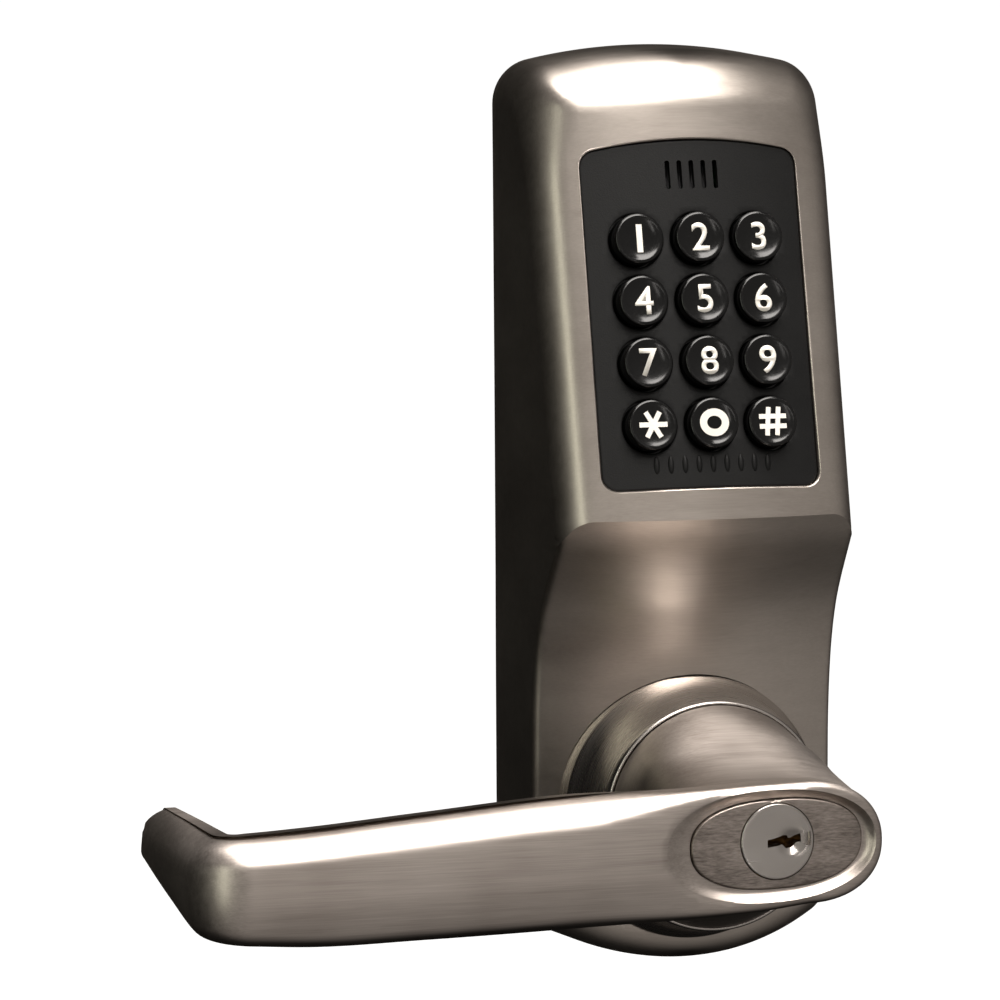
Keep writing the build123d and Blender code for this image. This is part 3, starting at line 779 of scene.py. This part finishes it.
def lever_outline():
    run = np.linspace(NOSE_LONG, LEVER_END - TIP_R, 160)
    low = np.stack([run, smooth_table(run, BAR_S, LOW_H)], 1)
    top = np.stack([run, smooth_table(run, BAR_S, TOP_H)], 1)[::-1]
    tip = LEVER_END - TIP_R
    tip_low, tip_top = low[-1, 1] + TIP_R, top[0, 1] - TIP_R
    end = [(tip + TIP_R * math.sin(a), tip_low - TIP_R * math.cos(a)) for a in np.linspace(0.2, math.pi / 2, 6)]
    end += [(tip + TIP_R * math.cos(a), tip_top + TIP_R * math.sin(a)) for a in np.linspace(0, math.pi / 2 - 0.2, 6)]
    middle, half = (top[-1, 1] + low[0, 1]) / 2, (top[-1, 1] - low[0, 1]) / 2
    nose = []
    for a in np.linspace(math.pi / 2, 1.5 * math.pi, 42)[1:-1]:
        c, s = math.cos(a), math.sin(a)
        nose.append((NOSE_LONG + NOSE_LONG * math.copysign(abs(c) ** 0.92, c),
                     middle + half * math.copysign(abs(s) ** 0.92, s)))
    return even_loop(np.vstack([low, end, top, nose]), 620)


def roll(s, w, z):
    """Unrolled length, depth behind the front and height to a point in space."""
    if s <= BEND_START:
        return (NOSE_X - s, LEVER_FRONT + w, z)
    if s <= BEND_END:
        a = (s - BEND_START) / BEND_R
        reach = BEND_R - w
        return (BEND_X - reach * math.sin(a), LEVER_FRONT + BEND_R - reach * math.cos(a), z)
    return (BEND_X - BEND_R + w, LEVER_FRONT + BEND_R + (s - BEND_END), z)


PLATE_TURN = math.radians(2.2)


def tilted(points, centre=(0.0, -0.6)):
    """Turns the points of the cylinder plate with the lever's slight droop. x is to the right."""
    c, s = math.cos(PLATE_TURN), math.sin(PLATE_TURN)
    x, z = points[:, 0], points[:, 1]
    return np.stack([c * x - s * z + centre[0] * c - s * centre[1],
                     s * x + c * z + centre[0] * s + c * centre[1]], 1)


def oval_loop(long, tall, power, count=160):
    """A full oval. Power 1 is an ellipse, and less is squarer."""
    turns = full_turn(count)
    c, s = np.cos(turns), np.sin(turns)
    return np.stack([long / 2 * np.sign(c) * np.abs(c) ** power,
                     tall / 2 * np.sign(s) * np.abs(s) ** power], 1)


plate_edge = tilted(oval_loop(42.4, 21.4, 0.84))
dish_edge = tilted(oval_loop(51.6, 26.4, 0.9), (-1.7, -0.9))


def to_bar(points):
    return np.stack([NOSE_X - points[:, 0], points[:, 1]], 1)[::-1]


bar_outline = lever_outline()
plate_bar, dish_bar = to_bar(plate_edge), to_bar(dish_edge)
BAR_RINGS = [0.03, 0.12, 0.28, 0.5, 0.8, 1.2, 1.7, 2.4, 3.3]
BOWL_DEEP, POCKET_DEEP, BACK_R = 1.9, 5.1, 3.2


def front_radius(s, rise):
    """The front edge is full and round along the top, and tighter along the bottom."""
    return 2.0 + (1.4 + 5.0 * smooth_step(rise)) * smooth_step((s - 38.0) / 40.0)


def bar_front(points, depth):
    s, z = points[:, 0], points[:, 1]
    along = np.clip(s, NOSE_LONG, LEVER_END)
    middle = (smooth_table(along, BAR_S, TOP_H) + smooth_table(along, BAR_S, LOW_H)) / 2
    swell = np.where(z > middle, 0.0105, 0.012)
    crown = swell * (z - middle) ** 2 * smooth_step((s - 24.0) / 40.0)
    drop = round_over(depth, front_radius(s, 0.5 + (z - middle) / 16.0))
    in_dish = inside(points, dish_bar)
    to_dish = distance_to(points, dish_bar)
    to_plate = distance_to(points, plate_bar)
    share = to_dish / (to_dish + to_plate + 1e-9)
    bowl = np.where(in_dish, BOWL_DEEP * np.sin(np.clip(share, 0, 1) * math.pi / 2) ** 1.15, 0.0)
    return np.maximum(crown + drop, 0) * np.where(in_dish, 1 - 0.6 * share, 1) + bowl


dish_steps = [dish_bar + (plate_bar - dish_bar) * share for share in (0.0, 0.08, 0.2, 0.35, 0.55, 0.78)]
dish_seams = [np.vstack([ring, ring[:1]]) for ring in dish_steps]
flat, faces, loops = sheet(bar_outline, BAR_RINGS, 1.7, holes=[plate_bar], seams=dish_seams)
depth = distance_to(flat, bar_outline)
depth[loops[0]] = 0
sink = bar_front(flat, depth)
lever = Shell()
skin = lever.skin([roll(s, w, z) for (s, z), w in zip(flat, sink)], faces)
outer_loop, plate_loop = [skin[i] for i in loops[0]], [skin[i] for i in loops[1]]
# The back skin. The bar gets thinner towards its free end.
bflat, bfaces, bloops = sheet(bar_outline, BAR_RINGS[:8], 2.2)
bdepth = distance_to(bflat, bar_outline)
bdepth[bloops[0]] = 0
taper = 1.6 * smooth_step((bflat[:, 0] - 60.0) / 90.0)
bsink = LEVER_THICK - taper - round_over(bdepth, BACK_R)
skin_back = lever.skin([roll(s, w, z) for (s, z), w in zip(bflat, bsink)], bfaces, flip=True)
lever.strip(outer_loop, [skin_back[i] for i in bloops[0]])
# The pocket that the cylinder plate sits in.
pocket = lever.add([roll(s, POCKET_DEEP, z) for s, z in flat[loops[1]]])
lever.strip(plate_loop, pocket)
centre = lever.add([roll(NOSE_X, POCKET_DEEP, -0.6)])[0]
for i in range(len(pocket)):
    lever.face(pocket[i], pocket[(i + 1) % len(pocket)], centre)
lever_piece = lever.build("lever_body")

# %% Neck, shank and bore
NECK_AT = np.array([-55.1, -58.0, -62.0, -66.0, -71.0, -76.0, -82.0, -88.0, -92.0])[::-1]
NECK_RX = np.array([26.8, 26.5, 26.2, 26.0, 25.9, 25.8, 25.7, 25.6, 25.5])[::-1]
NECK_RZ = np.array([26.8, 25.4, 23.3, 21.4, 19.3, 17.5, 15.6, 14.2, 13.6])[::-1]


def solid_of_rings(name, sections, count=200):
    """A closed solid through ovals: (y, rx, rz, height, fullness). Fullness 2 is an ellipse."""
    shell = Shell()
    turns = full_turn(count)
    c, s = np.cos(turns), np.sin(turns)
    rings = []
    for y, rx, rz, h, full in sections:
        x = rx * np.sign(c) * np.abs(c) ** (2 / full)
        z = rz * np.sign(s) * np.abs(s) ** (2 / full) + h
        rings.append(shell.add(np.stack([x, np.full(count, y), z], 1)))
    for one, two in zip(rings, rings[1:]):
        shell.strip(one, two)
    shell.face(*rings[0][::-1])
    shell.face(*rings[-1])
    return shell.build(name)


def neck_section(y):
    """The neck starts round at the rose and gets flatter and squarer towards the bar."""
    rx, rz = [float(smooth_table(np.array([y]), NECK_AT, table)[0]) for table in (NECK_RX, NECK_RZ)]
    sink = -0.75 * float(smooth_step((-55.0 - y) / 37.0))
    fullness = (2.0 + 0.9 * float(smooth_step((-55.1 - y) / 16.0))
                + 0.5 * float(smooth_step((-71.0 - y) / 17.0)))
    return y, rx, rz, sink, fullness


sections = [neck_section(y) for y in np.linspace(-92.0, -55.1, 44)]
sections += [(-54.9, 26.6, 26.6, 0.0, 2.0), (-54.8, 26.3, 26.3, 0.0, 2.0)]
neck = solid_of_rings("neck", sections)
SHANK = [(-60, 15), (-25.6, 15), (-25.55, 14.05), (-24.35, 14.05), (-24.3, 15), (-22, 15)]
BORE = [(-95.5, 11), (-62, 11), (-61.9, 8.5), (-20, 8.5)]
shank = solid_of_rings("shank", [(y, r, r, 0, 2) for y, r in SHANK], 96)
bore = solid_of_rings("bore", [(y, r, r, 0, 2) for y, r in BORE], 96)


def combine(piece, other, operation):
    """Joins another solid to the piece, or cuts it out, and removes the other."""
    modifier = piece.modifiers.new("join", "BOOLEAN")
    modifier.operation = operation
    modifier.solver = "MANIFOLD"
    modifier.object = other
    mesh = evaluated_mesh(piece)
    piece.modifiers.clear()
    old, before = piece.data, len(piece.data.polygons)
    if len(mesh.polygons) in (0, before):
        raise RuntimeError("the join of " + piece.name + " and " + other.name + " did nothing")
    piece.data = mesh
    bpy.data.meshes.remove(old)
    bpy.data.objects.remove(other)


combine(lever_piece, neck, "UNION")
combine(lever_piece, shank, "UNION")
combine(lever_piece, bore, "DIFFERENCE")
lever_piece.data.shade_smooth()
lever_piece.data.set_sharp_from_angle(angle=math.radians(33))
print("lever", len(lever_piece.data.polygons), "faces")

# %% [markdown]
# The plate around the cylinder is a separate brushed pressing with a thin bright edge, and the
# cylinder's face is a smoother disc with a stepped keyway and a small cone that guides the key.

# %% Cylinder plate
PLATE_Y, PLATE_BACK = -98.6, -94.5
plate_outer = tilted(oval_loop(41.9, 20.9, 0.84, 140))
PLUG_HOLE = 9.12
plug_hole = circle(0, 0, PLUG_HOLE, 96)
flat, faces, loops = sheet(plate_outer, [0.05, 0.15, 0.3, 0.5], 1.8, holes=[plug_hole])
depth = distance_to(flat, plate_outer)
plate = Shell()
top = plate.skin([(x, PLATE_Y + drop, z) for (x, z), drop in zip(flat, round_over(depth, 0.4))], faces)
bottom = plate.skin([(x, PLATE_BACK, z) for x, z in flat], faces, flip=True)
for loop in loops:
    plate.strip([top[i] for i in loop], [bottom[i] for i in loop])
    plate.crease([bottom[i] for i in loop])
plate.crease([top[i] for i in loops[1]])
plate_piece = plate.build("cylinder_plate")

# %% Cylinder plug
PLUG_Y, PLUG_R, KEYWAY_DEEP = -99.0, 8.95, 5.0
KEYWAY = [(-2.5, -1.35), (-0.3, -1.05), (1.2, -0.75), (1.6, -1.1), (2.2, -1.75), (3.6, -1.7), (4.3, -1.15),
          (4.9, -0.5), (5.6, -0.3), (6.3, -0.7), (7.0, -1.1), (8.2, -1.3), (8.2, 2.1), (7.2, 1.95), (6.3, 1.75),
          (5.4, 1.6), (4.4, 1.2), (3.5, 0.6), (2.9, 0.6), (2.5, 1.3), (1.4, 1.4), (0.2, 1.05), (-1.0, 0.7),
          (-2.5, 0.45)]
CONE_AT, CONE_R, CONE_DEPTH = (3.6, -0.3), 3.4, 1.7
face_outline = circle(0, 0, PLUG_R, 120)
fine_keyway = even_loop(np.array(KEYWAY), 110)
flat, faces, loops = sheet(face_outline, [0.06, 0.16, 0.3, 0.5], 0.55, holes=[fine_keyway])
depth = distance_to(flat, face_outline)
away = np.linalg.norm(flat - np.array(CONE_AT), axis=1)
dip = CONE_DEPTH * np.clip(1 - away / CONE_R, 0, 1)
plug = Shell()
top = plug.skin([(x, PLUG_Y + r + d, z) for (x, z), r, d in zip(flat, round_over(depth, 0.4), dip)], faces)
rim_loop, key_loop = [top[i] for i in loops[0]], [top[i] for i in loops[1]]
floor = plug.add([(flat[i, 0], PLUG_Y + KEYWAY_DEEP, flat[i, 1]) for i in loops[1]])
plug.strip(key_loop, floor)
plug.face(*floor)
plug.crease(key_loop)
# Behind its face the plug steps down to the core that turns in the shell.
last = rim_loop
for radius, y in ((PLUG_R, -97.0), (6.4, -97.0), (6.4, -62.0)):
    ring = plug.add([(flat[i, 0] * radius / PLUG_R, y, flat[i, 1] * radius / PLUG_R) for i in loops[0]])
    plug.strip(last, ring)
    plug.crease(ring)
    last = ring
plug.face(*last[::-1])
plug_piece = plug.build("plug_body")

# %% [markdown]
# Finishes. Each one starts from the real material and how its surface was made. The satin nickel
# is brushed: fine parallel scratches that spread the reflections across themselves. The scratches
# are stretched noise, drawn about 0.3 mm apart, coarser than real ones so that they show.

# %% Colours and the finish helper
PER_METRE = 1000.0


def linear(code):
    """An sRGB hex colour as linear numbers."""
    values = [int(code[i:i + 2], 16) / 255 for i in (0, 2, 4)]
    return [v / 12.92 if v <= 0.04045 else ((v + 0.055) / 1.055) ** 2.4 for v in values] + [1.0]


def new_finish(name, **sockets):
    """A material with its Principled shader. Sockets hold values that are the same all over."""
    material = bpy.data.materials.new(name)
    material.use_nodes = True
    tree = material.node_tree
    tree.nodes.clear()
    leave = tree.nodes.new("ShaderNodeOutputMaterial")
    values = {key.replace("_", " "): value for key, value in sockets.items()}
    shader = add_node(tree, "ShaderNodeBsdfPrincipled", values)
    tree.links.new(shader.outputs["BSDF"], leave.inputs["Surface"])
    place = tree.nodes.new("ShaderNodeTexCoord")
    return material, tree, shader, place.outputs["Object"]


def mapped_noise(tree, vector, scale, detail):
    """A noise pattern: scale is cycles per millimetre along each axis."""
    mapped = add_node(tree, "ShaderNodeMapping", {"Scale": [v * PER_METRE for v in scale]}, {"Vector": vector})
    noise = add_node(tree, "ShaderNodeTexNoise", {"Scale": 1.0, "Detail": detail, "Roughness": 0.6},
                     {"Vector": mapped.outputs[0]})
    return noise.outputs["Fac"]


def around_axis(tree, vector):
    """Turns a position into (angle, distance along the axis, radius) about the lever axis."""
    parts = add_node(tree, "ShaderNodeSeparateXYZ", links={"Vector": vector})
    angle = add_node(tree, "ShaderNodeMath", links={0: parts.outputs["Z"], 1: parts.outputs["X"]},
                     operation="ARCTAN2")
    # Times 20 mm, a middling radius, the angle becomes a length around the axis.
    scaled = add_node(tree, "ShaderNodeMath", {1: 20 * MM}, {0: angle.outputs[0]}, operation="MULTIPLY")
    flat_part = add_node(tree, "ShaderNodeCombineXYZ", links={"X": parts.outputs["X"], "Y": parts.outputs["Z"]})
    radius = add_node(tree, "ShaderNodeVectorMath", links={0: flat_part.outputs[0]}, operation="LENGTH")
    around = add_node(tree, "ShaderNodeCombineXYZ",
                      links={"X": scaled.outputs[0], "Y": parts.outputs["Y"], "Z": radius.outputs["Value"]})
    return around.outputs[0]


def dress(tree, shader, pattern, dark, light, rough_low, rough_high, height, height_mm):
    """Sends one pattern to the colour and the roughness, and a height to the bump."""
    spread = add_node(tree, "ShaderNodeMapRange", {"From Min": 0.3, "From Max": 0.7}, {"Value": pattern})
    share = spread.outputs["Result"]
    colour = add_node(tree, "ShaderNodeMix", {"A": linear(dark), "B": linear(light)}, {"Factor": share},
                      data_type="RGBA")
    rough = add_node(tree, "ShaderNodeMapRange", {"To Min": rough_low, "To Max": rough_high}, {"Value": share})
    bump = add_node(tree, "ShaderNodeBump", {"Strength": 0.6, "Distance": height_mm * MM}, {"Height": height})
    tree.links.new(colour.outputs["Result"], shader.inputs["Base Color"])
    tree.links.new(rough.outputs["Result"], shader.inputs["Roughness"])
    tree.links.new(bump.outputs["Normal"], shader.inputs["Normal"])


# %% Brushed metals
def brushed(name, dark, light, rough, along, gap_mm, length_mm, depth_mm, turned=False, stretch=0.5):
    """Brushed metal. along is the axis of the scratches, in x, y, z or in (angle, axis, radius)."""
    material, tree, shader, place = new_finish(name, Metallic=1.0, Anisotropic=stretch)
    if turned:
        place = around_axis(tree, place)
    fine = [1.0 / gap_mm] * 3
    fine[along] = 1.0 / length_mm
    scratch = mapped_noise(tree, place, fine, 3.0)
    band = mapped_noise(tree, place, [v * 0.15 for v in fine], 2.0)
    cloud = mapped_noise(tree, place, (0.03, 0.03, 0.03), 2.0)
    mixed = add_node(tree, "ShaderNodeMix", {"Factor": 0.35}, {"A": scratch, "B": band})
    worn = add_node(tree, "ShaderNodeMix", {"Factor": 0.4}, {"A": mixed.outputs["Result"], "B": cloud})
    dress(tree, shader, worn.outputs["Result"], dark, light, rough - 0.04, rough + 0.05, scratch, depth_mm)
    return material


# Die cast zinc with satin nickel plate, brushed across: it gives the eye a soft, slightly warm grey
# with level hair lines that stretch each highlight up and down.
satin_casing = brushed("satin_nickel_casing", "a79e96", "bcb4ac", 0.33, 0, 0.3, 10.0, 0.002)
# The same plate on the lever, brushed along its length by hand, so the lines are longer and deeper.
satin_lever = brushed("satin_nickel_lever", "988e87", "cac1ba", 0.36, 0, 0.28, 18.0, 0.008)
# Turned and plated: the lines run round the axis and the surface is nearly bright.
satin_rose = brushed("turned_nickel_rose", "b2aba6", "c6c0bb", 0.26, 0, 0.35, 20.0, 0.001,
                     turned=True, stretch=0.0)
# Pressed plate ground with a coarse belt: short dark scratches and a sparkle between them.
plate_metal = brushed("coarse_brushed_plate", "463f3a", "c0b5ad", 0.36, 0, 0.45, 2.2, 0.12, stretch=0.2)
# Machined and lapped nickel silver: the smoothest metal here, an even grey disc.
disc_metal = brushed("cylinder_disc_nickel", "aca6a1", "bab5b0", 0.24, 0, 0.3, 8.0, 0.0015)
# Free-cutting brass as it leaves the lathe: yellow, with fine lines along the cut.
brass = brushed("machined_brass", "8a682f", "b08c48", 0.28, 1, 0.3, 4.0, 0.002)
# The same brass inside the keyway, where little light gets in, with the shade of the deep slot painted into its colour:
# dark brown.
keyway_brass_painted_dark = brushed("brass_with_painted_keyway_shade", "2a1d0e", "4a3418", 0.45, 1, 0.3, 4.0, 0.002)
# Mild steel with a thin bluish zinc plate: clean grey with a faint grain of the rolled sheet.
zinc_steel = brushed("zinc_plated_steel", "9c9fa3", "bcbec1", 0.34, 2, 0.6, 5.0, 0.003)
# Hard-drawn wire with an oil film: darker than plated steel and a little glossy.
spring_steel = brushed("oiled_spring_steel", "55585c", "74777b", 0.3, 0, 0.3, 6.0, 0.002, turned=True)
# Deep-drawn nickel plated can: the brightest of the inside metals, with lines along the draw.
can_metal = brushed("drawn_motor_can", "b4b6b8", "cbcccd", 0.24, 1, 0.4, 8.0, 0.002)


# %% Mouldings
def moulded(name, dark, light, rough, grain_mm, depth_mm, **sockets):
    """Moulded plastic or rubber: an even colour with a fine spark-eroded grain."""
    material, tree, shader, place = new_finish(name, **sockets)
    grain = mapped_noise(tree, place, [1.0 / grain_mm] * 3, 3.0)
    cloud = mapped_noise(tree, place, (0.08, 0.08, 0.08), 2.0)
    mixed = add_node(tree, "ShaderNodeMix", {"Factor": 0.5}, {"A": grain, "B": cloud})
    dress(tree, shader, mixed.outputs["Result"], dark, light, rough - 0.05, rough + 0.06, grain, depth_mm)
    return material


# Spark-grained ABS: a flat black that keeps only a broad, faint sheen.
fascia_black = moulded("matt_black_grained_abs", "060606", "0d0d0d", 0.52, 0.35, 0.06, Specular_IOR_Level=0.2)
# Polished polycarbonate: deep black with a crisp light arc on each rim.
key_gloss = moulded("gloss_black_polycarbonate", "030303", "060606", 0.14, 0.8, 0.001, Specular_IOR_Level=0.42)
# A second shot of white plastic: slightly warm and without gloss, so the signs read evenly.
sign_white = moulded("white_key_inlay", "dad5cc", "ece8e0", 0.45, 0.5, 0.004)
# Silicone rubber: soft black that scatters the light.
rubber_black = moulded("black_silicone_rubber", "18181a", "222224", 0.7, 0.5, 0.02)
# Filled silicone sheet under the keys: dull mid grey.
rubber_grey = moulded("grey_silicone_mat", "3f4245", "4f5356", 0.62, 0.6, 0.02)
# Transfer-moulded epoxy: dark grey with a fine sandy face.
chip_black = moulded("moulded_black_epoxy", "151517", "1f1f22", 0.5, 0.2, 0.01)
# Unpigmented nylon: milky, with the thin waxy skin of a moulding.
nylon = moulded("natural_nylon", "cfcabd", "e2ddd2", 0.45, 0.6, 0.01, Coat_Weight=0.15)


def board_finish():
    """Green solder mask over copper tracks: square bands of slightly lighter green."""
    material, tree, shader, place = new_finish("solder_mask_board", Coat_Weight=0.3, Coat_Roughness=0.15,
                                               Roughness=0.34)
    mapped = add_node(tree, "ShaderNodeMapping", {"Scale": [0.55 * PER_METRE] * 3}, {"Vector": place})
    colours = {"Color1": linear("1c5231"), "Color2": linear("205a37"), "Mortar": linear("3c8350")}
    tracks = add_node(tree, "ShaderNodeTexBrick", {"Scale": 1.0, "Mortar Size": 0.12, **colours},
                      {"Vector": mapped.outputs[0]})
    bump = add_node(tree, "ShaderNodeBump", {"Strength": 0.5, "Distance": 0.02 * MM}, {"Height": tracks.outputs["Fac"]})
    tree.links.new(tracks.outputs["Color"], shader.inputs["Base Color"])
    tree.links.new(bump.outputs["Normal"], shader.inputs["Normal"])
    return material


# Lacquered glass-epoxy board: green and glassy, with the copper tracks showing paler.
board_green = board_finish()
print("finishes", len(bpy.data.materials))

# %% [markdown]
# Every piece now gets its finish, its body to ride on, and the CAD node it stands for. The inside
# parts keep their CAD shapes and only get finishes.

# %% Finishes and bodies
def settle(piece, material, body, slot, *nodes):
    """Gives a piece its finish and its body, and hides the CAD nodes it stands for. slot is not used."""
    piece.data.materials.clear()
    piece.data.materials.append(material)
    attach(piece, body)
    if nodes:
        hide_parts(*nodes)


settle(casing_piece, satin_casing, "housing", "satin_metal", "front_casing")
settle(fascia_piece, fascia_black, "housing", "fascia_black", "keypad_fascia")
settle(rose_piece, satin_rose, "housing", "satin_metal", "rose")
settle(lever_piece, satin_lever, "lever", "lever_metal", "lever_handle")
settle(plate_piece, plate_metal, "lever", "insert_metal", "lever_insert")
settle(plug_piece, disc_metal, "plug", "cylinder_metal", "cylinder_plug")
for name in KEY_NAMES:
    settle(caps[name], key_gloss, "button_" + name, "key_black", "key_" + name)
    settle(signs[name], sign_white, "button_" + name, "white_plastic")

RIB_COUNT, RIB_PITCH = 9, 3.5
RIB_DOWN, RIB_SINK = 31.9, 0.3
ribs = from_nodes("fascia_ribs", rib_tree(fascia_black),
                  {"Count": RIB_COUNT, "Pitch": RIB_PITCH, "Rib Size": (1.5, 4.4, 1.1)})
for vertex in ribs.data.vertices:
    u, v = vertex.co.x - RIB_PITCH * (RIB_COUNT - 1) / 2, vertex.co.y - RIB_DOWN
    out = max(vertex.co.z, -RIB_SINK)
    vertex.co = Vector(face_point(u, v, FASCIA_TOP - 0.1 + out)) * MM
settle(ribs, fascia_black, "housing", "fascia_black")

INSIDE = {
    rubber_black: ["back_gasket", "cable_grommet"],
    zinc_steel: ["back_plate", "back_plate_screws", "fixing_posts", "board_screws", "stop_plate",
                 "stop_plate_screws", "motor_bracket", "bracket_screws", "lever_hub", "hub_screws",
                 "thrust_washer", "driven_hub", "spindle", "clutch_ring"],
    spring_steel: ["retaining_ring", "return_spring", "pin_springs"],
    rubber_grey: ["keypad_mat"],
    board_green: ["keypad_board"],
    chip_black: ["tactile_switches", "controller_chip", "sounder"],
    nylon: ["cable_header", "lever_bush", "spindle_bush", "clutch_fork"],
    can_metal: ["clutch_motor"],
    brass: ["cylinder_shell", "driver_pins", "pin_cover", "key_pins", "tailpiece", "motor_screw"],
}
dressed = 0
for material, names in INSIDE.items():
    for name in names:
        if name in frame["nodes"]:
            for slot in frame["nodes"][name].material_slots:
                slot.link = "OBJECT"
                slot.material = material
                dressed += 1
print("inside parts", sum(len(v) for v in INSIDE.values()), "slots dressed", dressed)

# %% [markdown]
# Brass closes the keyway. Its colour is painted dark brown with the shade deep in the slot. It is a small lining block
# with the same stepped outline, set back in the slot, so the slot reads as deep and its end still has a brown tint.

# %% Keyway lining
lining = Shell()
LINING_FRONT, LINING_REAR = 3.4, 4.9
front_ring, rear_ring = [lining.add([(x, PLUG_Y + deep, z) for x, z in fine_keyway])
                         for deep in (LINING_FRONT, LINING_REAR)]
lining.strip(front_ring, rear_ring)
lining.face(*front_ring)
lining.face(*rear_ring[::-1])
lining_piece = lining.build("keyway_lining")
settle(lining_piece, keyway_brass_painted_dark, "plug", "brass")

# %% [markdown]
# The stage: a plain pale floor and soft lights. Metal shows what it reflects, so the lights are
# large panels placed where the picture has its highlights, and the rest of the room is dim.

# %% Floor and room
floor_mesh = bpy.data.meshes.new("floor")
FLOOR_HALF, FLOOR_Z = 60, -0.42
corners = [(x * FLOOR_HALF, y * FLOOR_HALF, FLOOR_Z) for x, y in ((-1, -1), (1, -1), (1, 1), (-1, 1))]
floor_mesh.from_pydata(corners, [], [(0, 1, 2, 3)])
floor_piece = placed("floor", floor_mesh)
# Pale board that glows a little, so that it reads as an even, nearly white ground.
floor_paint = new_finish("pale_floor", Base_Color=linear("f4f3f1"), Roughness=0.9,
                         Emission_Color=linear("ffffff"), Emission_Strength=0.88)[0]
floor_mesh.materials.append(floor_paint)
floor_piece.visible_glossy = False
floor_piece.visible_diffuse = False

# The room that the metal reflects is mid grey in front, where the viewer stands, and nearly black
# behind. The camera itself sees it pale, like the floor.
world = bpy.data.worlds.new("room")
bpy.context.scene.world = world
world.use_nodes = True
tree = world.node_tree
tree.nodes.clear()
where = tree.nodes.new("ShaderNodeTexCoord")
BRIGHT_SIDE, DARK_ROOM, BRIGHT_ROOM = (0.28, -0.90, 0.25), 0.008, 0.40
facing = add_node(tree, "ShaderNodeVectorMath", {1: BRIGHT_SIDE}, {0: where.outputs["Generated"]},
                  operation="DOT_PRODUCT")
level = add_node(tree, "ShaderNodeMapRange",
                 {"From Min": -0.25, "From Max": 0.6, "To Min": DARK_ROOM, "To Max": BRIGHT_ROOM},
                 {"Value": facing.outputs["Value"]})
dim = add_node(tree, "ShaderNodeBackground", {"Color": linear("f2ece6")}, {"Strength": level.outputs["Result"]})
pale = add_node(tree, "ShaderNodeBackground", {"Color": linear("f4f3f1"), "Strength": 1.0})
path = tree.nodes.new("ShaderNodeLightPath")
choice = add_node(tree, "ShaderNodeMixShader",
                  links={0: path.outputs["Is Camera Ray"], 1: dim.outputs[0], 2: pale.outputs[0]})
ending = tree.nodes.new("ShaderNodeOutputWorld")
tree.links.new(choice.outputs[0], ending.inputs["Surface"])


# %% Lights
def panel(name, place, aim, wide, tall, watts, colour="fffaf5"):
    """A soft rectangular light at place, facing aim."""
    data = bpy.data.lights.new(name, "AREA")
    data.shape = "RECTANGLE"
    data.size, data.size_y = wide, tall
    data.energy = watts
    data.color = linear(colour)[:3]
    lamp = placed(name, data)
    lamp.visible_camera = False
    lamp.location = place
    lamp.rotation_euler = (Vector(aim) - Vector(place)).to_track_quat("-Z", "Y").to_euler()


MIDDLE = (-0.03, -0.03, 0.07)
panel("key_high", (0.14, -0.95, 1.2), MIDDLE, 0.7, 0.75, 22)
panel("overhead", (0.0, -0.2, 1.5), MIDDLE, 1.2, 0.8, 24)
panel("key_strip", (0.12, -1.15, 0.05), MIDDLE, 0.035, 0.9, 0.5)
panel("left_strip", (-1.1, -0.95, 0.25), MIDDLE, 0.16, 1.2, 3, "f6fbe8")
bpy.context.scene.view_settings.view_transform = "Standard"

# %% The end
bpy.context.view_layer.update()
